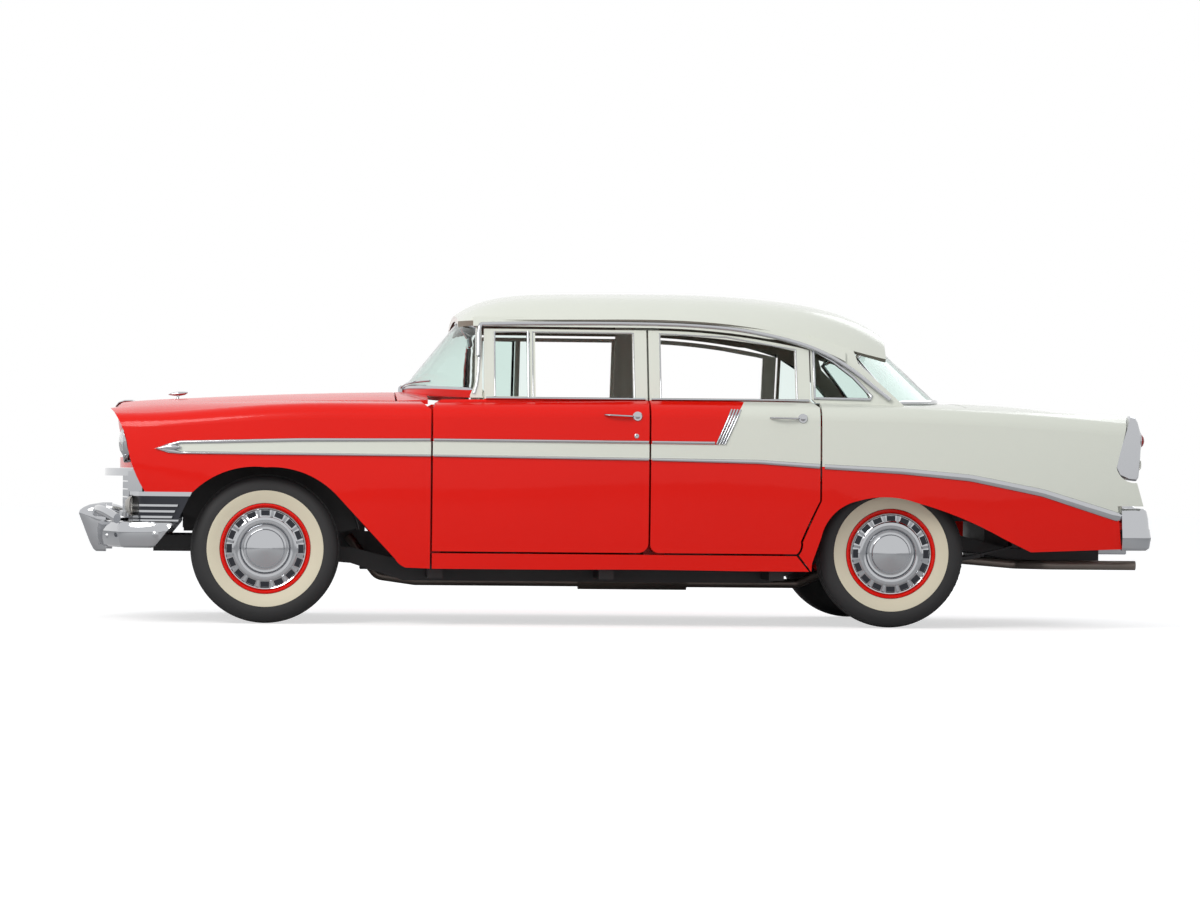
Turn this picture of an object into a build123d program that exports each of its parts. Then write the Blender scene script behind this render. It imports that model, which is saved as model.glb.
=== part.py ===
from build123d import *
import math
import os

# 1950s four-door sedan, in millimetres: +X forward, +Y left, +Z up.
# The origin is on the ground at mid-length and mid-width.

# Overall sizes
TAIL_X = -2535.0
WHEELBASE = 2921.0
FRONT_AXLE_X = 1650.5
REAR_AXLE_X = FRONT_AXLE_X - WHEELBASE
FRONT_TRACK = 1473.0
REAR_TRACK = 1496.0

# Sheet and panel thicknesses
SKIN = 20.0
DOOR_DEPTH = 70.0
FRAME_DEPTH = 32.0
LID_THICKNESS = 22.0
ROOF_THICKNESS = 28.0
GLASS = 6.0

# Gaps between panels
DOOR_GAP = 9.0
LID_GAP = 9.0
NOSE_GAP = 15.0
RAIL_GAP = 11.0

# Wheels and tyres
TYRE_RADIUS = 347.0
TYRE_WIDTH = 172.0
RIM_RADIUS = 211.0
RIM_WIDTH = 140.0
COVER_RADIUS = 192.0
DRUM_RADIUS = 148.0
HUB_Z = TYRE_RADIUS
KINGPIN_Y = 664.0
SPINDLE_RADIUS = 17.0

# Body lines
BELT_Z = 1046.0
SILL_Z = 262.0
DOOR_BOTTOM_Z = 343.0
FRONT_GAP_X = 885.0
MIDDLE_GAP_X = -128.0
REAR_GAP_X = -927.0
DOOR_FRAME_TOP_Z = 1384.0
FLOOR_Z = 300.0
FLOOR_THICKNESS = 25.0
FLOOR_HALF = 765.0
COWL_X = 1052.0
SHOULDER_RADIUS = 82.0
CROWN_TURN = 6.0

# Outer skin of the left side, station by station from the nose to the tail.
# Columns: x, sill y and z, widest y and z, start of the shoulder y and z, upper edge y and z.
SIDE = [
    (2420, 752, 560, 812, 745, 800, 912, 600, 986),
    (2100, 848, 420, 885, 690, 872, 910, 612, 1018),
    (1800, 874, 330, 903, 668, 888, 932, 630, 1028),
    (1500, 892, 262, 916, 650, 900, 950, 650, 1034),
    (1190, 900, 262, 921, 645, 907, 953, 692, 1036),
    (885, 905, 262, 925, 640, 912, 955, 730, 1040),
    (300, 905, 262, 926, 640, 914, 965, 800, 1046),
    (-1000, 905, 262, 926, 650, 912, 965, 795, 1049),
    (-1700, 903, 300, 922, 660, 900, 950, 745, 1032),
    (-2150, 890, 350, 908, 680, 886, 925, 742, 1012),
    (TAIL_X + 35, 862, 380, 880, 700, 856, 900, 738, 994),
]

# Hinge pins of the doors
HINGE_BACK = 50.0
HINGE_Y = 906.0
HINGE_PIN_RADIUS = 4.0
HINGE_BARREL_RADIUS = 7.5
HINGE_HEIGHT = 44.0
HINGE_LEVELS = (520.0, 780.0)

# Greenhouse: the glass and frames lean in on one slanted plane on each side
LEAN_LOW = (800.0, BELT_Z)
LEAN_HIGH = (668.0, 1400.0)

# Front wheel arch and the upper edge of the parking lamp. Columns: x, z.
SIDE_LAMP_TOP = 606.0
ARCH_FRONT = (1986.0, SIDE_LAMP_TOP)
ARCH_TOP = (1650.0, 724.0)
ARCH_SLOPE = (1326.0, 602.0)
ARCH_FOOT = (1051.0, 307.0)

# Window frames and posts
FRONT_FRAME_FRONT = 640.0
VENT_POST_X = 424.0
POST_Y = (745.0, 800.0)
UPPER_POST_Y = (722.0, 758.0)

# Side profile of the hood at mid-width. Columns: x, z.
HOOD_REAR = (COWL_X, 1092.0)
HOOD_BEND = (2060.0, 1051.0)
HOOD_BROW = (2330.0, 1032.0)
HOOD_TIP = (2368.0, 1002.0)
HOOD_NOSE_LOW = (2322.0, 775.0)

# Stations across the hood. Columns: y, fall of the top, how far the nose moves back.
HOOD_ROWS = [(0, 0, 0), (360, 13, 14), (720, 54.6, 64.4)]

# Inner edge of the fender's front closing panel
CAP_INNER_Y = 609.0

# Trunk lid
DECK_FRONT_X = -1650.0
DECK_TAIL_X = TAIL_X + 93
DECK_LOW_Z = 640.0
DECK_HALF_WIDTH = 690.0

# Stations across the trunk lid. Columns: y, fall of the top, how far the tail moves forward.
TRUNK_ROWS = [(0, 0, 0), (350, 8, 8), (720, 34, 42)]

# Roof sections. Columns: x, top z, side z, side y, crown start y, fall at the crown start.
ROOF = [
    (760, 1462, 1418, 640, 470, 20),
    (640, 1527, 1424, 664, 470, 27),
    (250, 1573, 1430, 682, 480, 31),
    (-150, 1578, 1434, 688, 480, 32),
    (-550, 1570, 1412, 688, 480, 33),
    (-900, 1537, 1350, 684, 480, 36),
    (-1260, 1410, 1262, 668, 500, 40),
]

# Curved glass: centre x, centre z, side x and side z of each arc, then the half-widths
WINDSHIELD_LOW = (1000.0, 1112.0, 668.0, 1092.0)
WINDSHIELD_HIGH = (744.0, 1432.0, 668.0, 1392.0)
WINDSHIELD_HALF = (748.0, 633.0)
REAR_GLASS_LOW = (-1586.0, 1070.0, -1290.0, 1052.0)
REAR_GLASS_HIGH = (-1258.0, 1372.0, -1120.0, 1262.0)
REAR_GLASS_HALF = (742.0, 640.0)

# Headlamps
LAMP_Y = 712.0
LAMP_Z = 838.0
LAMP_X = 2272.0
LAMP_RADIUS = 100.0

# Chassis frame and what hangs in it
FRAME_RAIL_Y = 372.0
FRAME_RAIL_Z = (195.0, 290.0)
FRAME_RAIL_WIDTH = 76.0
FRAME_TAIL_X = TAIL_X + 205
ENGINE_BOTTOM = 325.0
GEARBOX_BOTTOM = 240.0

# Grille
GRILLE_Z = (505.0, 690.0)
GRILLE_LIP_TOP = 714.0
GRILLE_HALF = 690.0

# Floor and firewall
FLOOR_TOP = FLOOR_Z + FLOOR_THICKNESS
FIREWALL_X = 1040.0
FIREWALL_HALF = 12.0
TRUNK_FLOOR_Z = 520.0
SEAT_PAN_X = -590.0
SEAT_PAN_Z = 420.0
TRUNK_STEP_X = -1180.0
TRUNK_WALL_X = -1290.0
SHEET = 20.0

# Tunnel over the gearbox and shaft. Columns: rear x, front x, half-width, top z.
TUNNEL = [
    (SEAT_PAN_X, 440, 72, 388),
    (440, 980, 158, 448),
]

# Upper edge of the rocker
SILL_TOP = DOOR_BOTTOM_Z - DOOR_GAP

# Leaf springs and exhaust
SPRING_Y = 505.0
PIPE_RADIUS = 22.2
PIPE_BEND = 55.0
PIPE_Y = 560.0
PIPE_Z = 296.0
PIPE_END_X = TAIL_X + 57

# Steering wheel
STEER_WHEEL = (560.0, 370.0, 940.0)
STEER_TILT = 62.0


def side_point(row, name):
    columns = {"sill": 1, "widest": 3, "shoulder": 5, "edge": 7}
    i = columns[name]
    return row[i], row[i + 1]


def rotate(v, degrees):
    a = math.radians(degrees)
    return v[0] * math.cos(a) - v[1] * math.sin(a), v[0] * math.sin(a) + v[1] * math.cos(a)


def circle_through(a, b, c):
    """Centre and radius of the circle through three points."""
    d = 2 * (a[0] * (b[1] - c[1]) + b[0] * (c[1] - a[1]) + c[0] * (a[1] - b[1]))
    sa, sb, sc = (p[0] ** 2 + p[1] ** 2 for p in (a, b, c))
    ux = (sa * (b[1] - c[1]) + sb * (c[1] - a[1]) + sc * (a[1] - b[1])) / d
    uy = (sa * (c[0] - b[0]) + sb * (a[0] - c[0]) + sc * (b[0] - a[0])) / d
    return (ux, uy), math.dist((ux, uy), a)


def skin_arcs(row):
    """Three arcs of the outer skin, each as start, middle, end with its circle's centre."""
    sill, widest, shoulder, edge = (side_point(row, n) for n in ("sill", "widest", "shoulder", "edge"))
    centre, radius = circle_through(sill, widest, shoulder)
    inward = ((centre[0] - shoulder[0]) / radius, (centre[1] - shoulder[1]) / radius)
    round_centre = (shoulder[0] + SHOULDER_RADIUS * inward[0], shoulder[1] + SHOULDER_RADIUS * inward[1])
    # The straight line from the edge that touches the shoulder's circle gives the turn of the shoulder.
    away = (edge[0] - round_centre[0], edge[1] - round_centre[1])
    reach = math.hypot(*away)
    swing = math.degrees(math.acos(SHOULDER_RADIUS / reach))
    touch = rotate((away[0] / reach, away[1] / reach), -swing)
    start = (-inward[0], -inward[1])
    turn = math.degrees(math.atan2(touch[1], touch[0]) - math.atan2(start[1], start[0])) - CROWN_TURN
    ends = [rotate(start, turn * share) for share in (0, 0.5, 1)]
    shoulder_arc = [
        (round_centre[0] + SHOULDER_RADIUS * e[0], round_centre[1] + SHOULDER_RADIUS * e[1]) for e in ends
    ]
    # The crown leaves the shoulder without a corner and ends at the upper edge.
    begin = shoulder_arc[2]
    heading = rotate(ends[2], 90)
    chord = (edge[0] - begin[0], edge[1] - begin[1])
    half = math.hypot(*chord) / 2
    normal = rotate(heading, 90)
    offset = normal[0] * chord[0] + normal[1] * chord[1]
    crown_radius = 2 * half * half / offset
    crown_centre = (begin[0] + crown_radius * normal[0], begin[1] + crown_radius * normal[1])
    middle = ((begin[0] + edge[0]) / 2 - crown_centre[0], (begin[1] + edge[1]) / 2 - crown_centre[1])
    size = math.hypot(*middle)
    crown_middle = (
        crown_centre[0] + crown_radius * middle[0] / size,
        crown_centre[1] + crown_radius * middle[1] / size,
    )
    return [
        ([sill, widest, shoulder], centre),
        (shoulder_arc, round_centre),
        ([begin, crown_middle, edge], crown_centre),
    ]


def moved_in(points, centre, depth):
    result = []
    for p in points:
        size = math.dist(p, centre)
        result.append(tuple(p[i] + depth * (centre[i] - p[i]) / size for i in (0, 1)))
    return result


def edge_y(x):
    """Half-width of the upper edge of the side panels at a station."""
    for ahead, behind in zip(SIDE, SIDE[1:]):
        if behind[0] <= x <= ahead[0]:
            share = (x - behind[0]) / (ahead[0] - behind[0])
            return behind[7] + share * (ahead[7] - behind[7])
    return SIDE[0][7]


def section_wire(x, arcs, closing):
    """Closed wire at one station: arcs in order, then straight lines through the closing points."""
    edges = [Edge.make_three_point_arc(*[(x, *p) for p in arc]) for arc in arcs]
    lines = [arcs[-1][-1], *closing, arcs[0][0]]
    edges += [Edge.make_line((x, *a), (x, *b)) for a, b in zip(lines, lines[1:])]
    return Wire(edges)


def side_shell(outer, inner):
    """Left side wall between two depths under the outer skin."""
    wires = []
    for row in SIDE:
        arcs = skin_arcs(row)
        near = [moved_in(points, centre, outer) for points, centre in arcs]
        far = [moved_in(points, centre, inner) for points, centre in arcs]
        back = [list(reversed(points)) for points in reversed(far)]
        edges = [Edge.make_three_point_arc(*[(row[0], *p) for p in arc]) for arc in near]
        edges.append(Edge.make_line((row[0], *near[-1][-1]), (row[0], *far[-1][-1])))
        edges += [Edge.make_three_point_arc(*[(row[0], *p) for p in arc]) for arc in back]
        edges.append(Edge.make_line((row[0], *far[0][0]), (row[0], *near[0][0])))
        wires.append(Wire(edges))
    return Solid.make_loft(wires)


def side_block(inner_y, depth=0.0):
    """Whole left side out to a depth under the skin, cut off by an upright plane on its inner side."""
    wires = []
    for row in SIDE:
        arcs = [moved_in(points, centre, depth) for points, centre in skin_arcs(row)]
        closing = [(inner_y, arcs[-1][-1][1]), (inner_y, arcs[0][0][1])]
        wires.append(section_wire(row[0], arcs, closing))
    return Solid.make_loft(wires)


def outline(*steps):
    """Closed side-view outline: a step is (x, z), or (x, z, via x, via z) for an arc to x, z."""

    def point(p):
        return p[0], 0, p[1]

    edges = []
    start = steps[0][:2]
    here = start
    for step in [*steps[1:], start]:
        if len(step) == 4:
            edges.append(Edge.make_three_point_arc(point(here), point(step[2:]), point(step[:2])))
        elif math.dist(here, step) > 1e-6:
            edges.append(Edge.make_line(point(here), point(step)))
        here = step[:2]
    return Face(Wire(edges))


def prism(face, low, high):
    """A side-view outline as a block from y = low to y = high."""
    return Solid.extrude(face.moved(Location((0, low, 0))), (0, high - low, 0))


def left_prism(face):
    """A side-view outline as a block right through the left side of the car."""
    return prism(face, 300, 1000)


def box(low, high):
    size = [b - a for a, b in zip(low, high)]
    centre = [(a + b) / 2 for a, b in zip(low, high)]
    return Pos(*centre) * Box(*size)


def rod(start, end, radius):
    """Round bar from one point to another."""
    start, end = Vector(*start), Vector(*end)
    plane = Plane(origin=start, z_dir=end - start)
    return plane * Cylinder(radius, (end - start).length, align=(Align.CENTER, Align.CENTER, Align.MIN))


def common(*shapes):
    """What the shapes share, as a list of solids."""
    found = solids(shapes[0])
    for other in shapes[1:]:
        found = [piece for one in found for piece in solids(one.intersect(other))]
    return found


def both_sides(shape):
    if isinstance(shape, (list, tuple)):
        return [side for one in shape for side in both_sides(one)]
    return [shape, shape.mirror(Plane.XZ)]


def solids(*shapes):
    found = []
    for shape in shapes:
        if isinstance(shape, (list, tuple)):
            found += solids(*shape)
        elif shape is not None:
            found += shape.solids()
    return found


def fused(*shapes):
    parts = solids(*shapes)
    return parts[0].fuse(*parts[1:]) if len(parts) > 1 else parts[0]


def save(name, *shapes):
    parts = solids(*shapes)
    export_step(parts[0] if len(parts) == 1 else Compound(parts), f"parts/{name}.step")


def lean_y(z):
    share = (z - LEAN_LOW[1]) / (LEAN_HIGH[1] - LEAN_LOW[1])
    return LEAN_LOW[0] + share * (LEAN_HIGH[0] - LEAN_LOW[0])


def lean_slab(outer, inner, low_z=1000.0, high_z=1460.0, front=1100.0, rear=-1500.0):
    """Slanted slab of the left greenhouse side between two depths under its outer plane."""
    profile = [(lean_y(low_z) - outer, low_z), (lean_y(high_z) - outer, high_z)]
    profile += [(lean_y(high_z) - inner, high_z), (lean_y(low_z) - inner, low_z)]
    wire = Wire.make_polygon([(rear, y, z) for y, z in profile], close=True)
    return Solid.extrude(Face(wire), (front - rear, 0, 0))


def fender_outline():
    gap = FRONT_GAP_X + DOOR_GAP / 2
    return outline(
        (gap, SILL_Z),
        (gap, 1000),
        (FRONT_GAP_X + 130, 1100),
        (2500, 1100),
        (2356, 975),
        (2285, 800, 2308, 890),
        (2206, SIDE_LAMP_TOP, 2255, 700),
        ARCH_FRONT,
        (*ARCH_TOP, 1893, 676),
        (*ARCH_SLOPE, 1478, 700),
        ARCH_FOOT,
        (960, SILL_Z, 1015, 272),
    )


def front_door_outline():
    front = FRONT_GAP_X - DOOR_GAP / 2
    rear = MIDDLE_GAP_X + DOOR_GAP / 2
    low = DOOR_BOTTOM_Z
    upper_front = front - 42
    radius = 46.0
    return outline(
        (front, low),
        (front, 1000),
        (front - 12, 1032),
        (upper_front, BELT_Z + 2),
        (FRONT_FRAME_FRONT, BELT_Z + 4),
        (FRONT_FRAME_FRONT, DOOR_FRAME_TOP_Z),
        (rear, DOOR_FRAME_TOP_Z),
        (rear, low + radius),
        (rear + radius, low, rear + 0.3 * radius, low + 0.3 * radius),
    )


def rail_z(x):
    """Lower edge of the drip rail along the greenhouse."""
    if x > -150:
        return DOOR_FRAME_TOP_Z + RAIL_GAP
    return DOOR_FRAME_TOP_Z + RAIL_GAP - 46.0 * ((-150 - x) / 550.0) ** 2


def rear_door_outline():
    front = MIDDLE_GAP_X - DOOR_GAP / 2
    rear = REAR_GAP_X + DOOR_GAP / 2
    low = DOOR_BOTTOM_Z

    def top(x):
        return rail_z(x) - RAIL_GAP

    upper_rear = rear + 34
    radius = 40.0
    return outline(
        (front, low + radius),
        (front, top(-150)),
        (-150, top(-150)),
        (upper_rear, top(upper_rear), -520, top(-520)),
        (upper_rear, BELT_Z + 12),
        (rear, BELT_Z - 20),
        (rear, 592),
        (rear + 88, 400, rear + 42, 506),
        (rear + 106, low, rear + 90, low + 22),
        (front - radius, low),
        (front, low + radius, front - 0.3 * radius, low + 0.3 * radius),
    )


def window_front():
    return outline((400, 1064), (400, 1366), (-58, 1366), (-58, 1064))


def window_vent():
    return outline((592, 1066), (592, 1366), (VENT_POST_X, 1366), (VENT_POST_X, 1066))


def window_rear():

    def top(x):
        return rail_z(x) - RAIL_GAP - 20

    return outline(
        (-190, 1064),
        (-190, top(-190)),
        (-822, top(-822), -506, top(-506)),
        (-822, 1064),
    )


def door(face, windows, front_x):
    """One left door: its full depth under the outer skin, with its window frame."""
    side_view = left_prism(face)
    panel = common(side_shell(0, DOOR_DEPTH), side_view)
    frame = common(lean_slab(0, FRAME_DEPTH), side_view)
    shape = fused(panel, frame)
    for window in windows:
        shape = shape.cut(left_prism(window))
    pin_x = front_x - HINGE_BACK
    for level in HINGE_LEVELS:
        tall = HINGE_HEIGHT + 4
        low, high = level - tall / 2, level + tall / 2
        pocket = box((pin_x - 16, 780, low), (pin_x + HINGE_BACK + 20, HINGE_Y, high))
        eye = Pos(pin_x, HINGE_Y, level) * Cylinder(HINGE_BARREL_RADIUS + 2, tall)
        shape = shape.cut(pocket, eye)
        pin = Pos(pin_x, HINGE_Y, level) * Cylinder(HINGE_PIN_RADIUS, tall + 8)
        shape = fused(shape, pin)
    return shape


def hinge_bracket(pin_x, level):
    """Body half of a door hinge: a barrel on an arm from the post."""
    post_y = POST_Y[1]
    barrel = Pos(pin_x, HINGE_Y, level) * Cylinder(HINGE_BARREL_RADIUS, HINGE_HEIGHT)
    arm = hinge_arm(pin_x, post_y, level)
    bore = Pos(pin_x, HINGE_Y, level) * Cylinder(HINGE_PIN_RADIUS + 0.5, HINGE_HEIGHT + 2)
    return fused(barrel, arm).cut(bore)


def hinge_arm(pin_x, post_y, level):
    points = [
        (pin_x - 7, HINGE_Y),
        (pin_x - 7, post_y),
        (pin_x + 26, post_y),
        (pin_x + 2, HINGE_Y - 30),
        (pin_x + 2, HINGE_Y),
    ]
    wire = Wire.make_polygon([(x, y, level - HINGE_HEIGHT / 2 + 6) for x, y in points], close=True)
    return Solid.extrude(Face(wire), (0, 0, HINGE_HEIGHT - 12))


# Lids and roof: strips with a crown, from a side profile repeated across the car
def crowned(profile, drops, thickness_down):
    """Loft of one side profile across the car.
    drops holds a row for each station from right to left: y, how far it is lower, how far back."""
    wires = []
    for y, lower, back in drops:
        wires.append(profile(y, lower, back, thickness_down))
    return Solid.make_loft(wires)


def mirrored_rows(rows):
    return [(-y, lower, back) for y, lower, back in reversed(rows) if y > 0] + rows


def hood_profile(y, lower, back, thick):
    """Closed profile at one station: the top surface out to the nose, then back under it."""

    def lowered(point, share, depth, shift=0.0):
        return point[0] - back * share - shift, y, point[1] - lower - depth

    low_x, low_z = HOOD_NOSE_LOW[0] - back, HOOD_NOSE_LOW[1]
    nose_z = (HOOD_TIP[1] + HOOD_NOSE_LOW[1] - lower) / 2
    sides = []
    for depth in (0.0, thick):
        sides.append(
            [
                lowered(HOOD_REAR, 0, depth),
                lowered(((HOOD_REAR[0] + HOOD_BEND[0]) / 2, 1077.0), 0, depth),
                lowered(HOOD_BEND, 0, depth),
                lowered((2205.0, 1043.0), 0.5, depth, depth * 0.2),
                lowered(HOOD_BROW, 1, depth, depth * 0.5),
                lowered((2356.0, 1021.0), 1, depth * 0.6, depth * 0.9),
                lowered(HOOD_TIP, 1, 0, depth),
                (low_x + 32 - depth, y, nose_z),
                (low_x - depth, y, low_z),
            ]
        )
    edges = []
    for points in (sides[0], sides[1][::-1]):
        edges += [Edge.make_three_point_arc(*points[i : i + 3]) for i in (0, 2, 4, 6)]
    edges.append(Edge.make_line(sides[0][-1], sides[1][-1]))
    edges.append(Edge.make_line(sides[1][0], sides[0][0]))
    return Wire(edges)


def hood():
    shape = crowned(hood_profile, mirrored_rows(HOOD_ROWS), LID_THICKNESS)
    stations = [HOOD_REAR[0]] + [row[0] for row in reversed(SIDE) if HOOD_REAR[0] < row[0]]
    side = [(x, edge_y(x) - (LID_GAP if x < 2000 else NOSE_GAP), 0) for x in stations]
    side.append((2500, edge_y(2420) - NOSE_GAP, 0))
    plan = Wire.make_polygon(side + [(x, -y, 0) for x, y, _ in reversed(side)], close=True)
    return common(shape, Solid.extrude(Face(plan), (0, 0, 2000)))


def trunk_profile(y, lower, back, thick):
    front_z = 1063 - lower

    def p(x, z):
        return x, y, z

    top_end = (DECK_TAIL_X + 152 + back, 1006 - lower)
    tail_top = (DECK_TAIL_X + 22 + back, 880 - lower * 0.6)
    tail_low = (DECK_TAIL_X + back, DECK_LOW_Z)
    return Wire(
        [
            Edge.make_three_point_arc(p(DECK_FRONT_X, front_z), p(-1980, 1047 - lower), p(*top_end)),
            Edge.make_three_point_arc(p(*top_end), p(top_end[0] - 92, top_end[1] - 46), p(*tail_top)),
            Edge.make_line(p(*tail_top), p(*tail_low)),
            Edge.make_line(p(*tail_low), p(tail_low[0] + thick, tail_low[1])),
            Edge.make_line(p(tail_low[0] + thick, tail_low[1]), p(tail_top[0] + thick, tail_top[1])),
            Edge.make_three_point_arc(
                p(tail_top[0] + thick, tail_top[1]),
                p(top_end[0] - 78, top_end[1] - 62),
                p(top_end[0] + 4, top_end[1] - thick),
            ),
            Edge.make_three_point_arc(
                p(top_end[0] + 4, top_end[1] - thick),
                p(-1980, 1047 - lower - thick),
                p(DECK_FRONT_X, front_z - thick),
            ),
            Edge.make_line(p(DECK_FRONT_X, front_z - thick), p(DECK_FRONT_X, front_z)),
        ]
    )


def trunk_strip(thick):
    return crowned(trunk_profile, mirrored_rows(TRUNK_ROWS), thick)


def trunk_lid():
    room = box((TAIL_X - 65, -DECK_HALF_WIDTH, DECK_LOW_Z), (DECK_FRONT_X, DECK_HALF_WIDTH, 1200))
    return common(trunk_strip(LID_THICKNESS), room)


def roof_wire(row, thick):
    x, top, side_z, side_y, crown_y, fall = row
    centre, radius = circle_through((-crown_y, top - fall), (0, top), (crown_y, top - fall))
    heading = (-(top - fall - centre[1]) / radius, crown_y / radius)
    start = (crown_y, top - fall)
    chord = (side_y - start[0], side_z - start[1])
    along = (-heading[0], -heading[1])
    normal = rotate(along, -90)
    reach = normal[0] * chord[0] + normal[1] * chord[1]
    side_radius = (chord[0] ** 2 + chord[1] ** 2) / (2 * reach)
    side_centre = (start[0] + side_radius * normal[0], start[1] + side_radius * normal[1])
    half = ((start[0] + side_y) / 2 - side_centre[0], (start[1] + side_z) / 2 - side_centre[1])
    size = math.hypot(*half)
    middle = (side_centre[0] + side_radius * half[0] / size, side_centre[1] + side_radius * half[1] / size)
    left = [start, middle, (side_y, side_z)]
    top_arc = [(-crown_y, top - fall), (0, top), start]
    arcs = [([(-y, z) for y, z in reversed(left)], (-side_centre[0], side_centre[1]))]
    arcs += [(top_arc, centre), (left, side_centre)]
    far = [moved_in(points, middle_of, thick) for points, middle_of in arcs]
    outer = [points for points, _ in arcs]
    edges = [Edge.make_three_point_arc(*[(x, *p) for p in arc]) for arc in outer]
    edges.append(Edge.make_line((x, *outer[-1][-1]), (x, *far[-1][-1])))
    edges += [Edge.make_three_point_arc(*[(x, *p) for p in reversed(arc)]) for arc in reversed(far)]
    edges.append(Edge.make_line((x, *far[0][0]), (x, *outer[0][0])))
    return Wire(edges)


def roof_shell():
    return Solid.make_loft([roof_wire(row, ROOF_THICKNESS) for row in ROOF])


def glass_sheet(low, high, half_low, half_high, thick, grow=0.0):
    """Curved glass between a lower and an upper arc.
    low and high: centre x, centre z, side x, side z. A window bends round on a tilted plane."""
    wires = []
    for (cx, cz, sx, sz), half in ((low, half_low), (high, half_high)):
        run = math.hypot(cx - sx, cz - sz)
        ux, uz = (cx - sx) / run, (cz - sz) / run

        def p(along, y):
            return sx + ux * along, y, sz + uz * along

        outer = run + grow
        inner = run - thick
        wires.append(
            Wire(
                [
                    Edge.make_three_point_arc(p(grow, -half - grow), p(outer, 0), p(grow, half + grow)),
                    Edge.make_line(p(grow, half + grow), p(grow, half - thick)),
                    Edge.make_three_point_arc(p(grow, half - thick), p(inner, 0), p(grow, -half + thick)),
                    Edge.make_line(p(grow, -half + thick), p(grow, -half - grow)),
                ]
            )
        )
    return Solid.make_loft(wires, ruled=True)


def windshield():
    return glass_sheet(WINDSHIELD_LOW, WINDSHIELD_HIGH, *WINDSHIELD_HALF, GLASS)


def rear_window():
    return glass_sheet(REAR_GLASS_LOW, REAR_GLASS_HIGH, *REAR_GLASS_HALF, GLASS)


def quarter_outline():
    gap = REAR_GAP_X - DOOR_GAP / 2
    return outline(
        (gap + 45, SILL_Z),
        (gap + 104, DOOR_BOTTOM_Z - 6),
        (gap + 86, 400, gap + 88, DOOR_BOTTOM_Z + 22),
        (gap, 592, gap + 40, 506),
        (gap, 1200),
        (TAIL_X - 65, 1200),
        (TAIL_X + 135, 1000),
        (TAIL_X + 151, 985),
        (TAIL_X + 175, 900),
        (TAIL_X + 213, 760, TAIL_X + 195, 830),
        (TAIL_X + 115, 690, TAIL_X + 185, 712),
        (TAIL_X + 83, 580),
        (TAIL_X + 207, 580),
        (TAIL_X + 185, 378),
        (-1919, 361),
        (-1790, 422),
        (-1372, 589, -1590, 517),
        (-1102, 594, -1240, 612),
        (-930, 420, -985, 528),
        (-889, 300),
    )


def quarter():
    return common(side_shell(0, SKIN), left_prism(quarter_outline()))


def tail_panel():
    """Panel below the trunk lid between the quarters."""
    strip = trunk_strip(LID_THICKNESS)
    front_x = TAIL_X + 535
    upper = common(strip, box((TAIL_X - 65, -760, DECK_LOW_Z), (front_x, 760, 1100)))
    edge = box((TAIL_X - 65, 696, DECK_LOW_Z), (front_x, 760, 1100))
    sides = [common(upper, room) for room in both_sides(edge)]
    low = box((TAIL_X + 183, -872, 470), (TAIL_X + 205, 872, DECK_LOW_Z - LID_GAP))
    return sides, [low]


def fender_cap():
    """Front closing panel of the left fender with its round lamp opening."""
    band = outline(
        (2346, 975),
        (2280, 800, 2303, 890),
        (2256, GRILLE_Z[1] + 30),
        (2226, GRILLE_Z[1] + 30),
        (2250, 800),
        (2316, 975, 2273, 890),
    )
    cap = fused(common(side_block(CAP_INNER_Y, SKIN / 2), prism(band, 500, 1000)))
    hole = Pos(LAMP_X, LAMP_Y, LAMP_Z) * Rot(0, 90, 0) * Cylinder(LAMP_RADIUS + 0.5, 260)
    return cap.cut(hole)


def front_fender():
    skin = common(side_shell(0, SKIN), left_prism(fender_outline()))
    return fused(skin, fender_cap())


def headlamp():
    """Left headlamp: bezel, domed lens and bowl."""
    place = Pos(LAMP_X, LAMP_Y, LAMP_Z) * Rot(0, 90, 0)
    r = LAMP_RADIUS
    profile = [(0, -70), (r - 30, -70), (r - 12, -10), (r - 12, 20), (r, 20), (r, 34), (r - 14, 40)]
    profile += [(r - 40, 50), (r - 70, 57), (0, 60)]
    wire = Wire.make_polygon([(radius, 0, z) for radius, z in profile], close=True)
    lamp = revolve(Face(wire), axis=Axis.Z)
    return place * lamp


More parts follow.
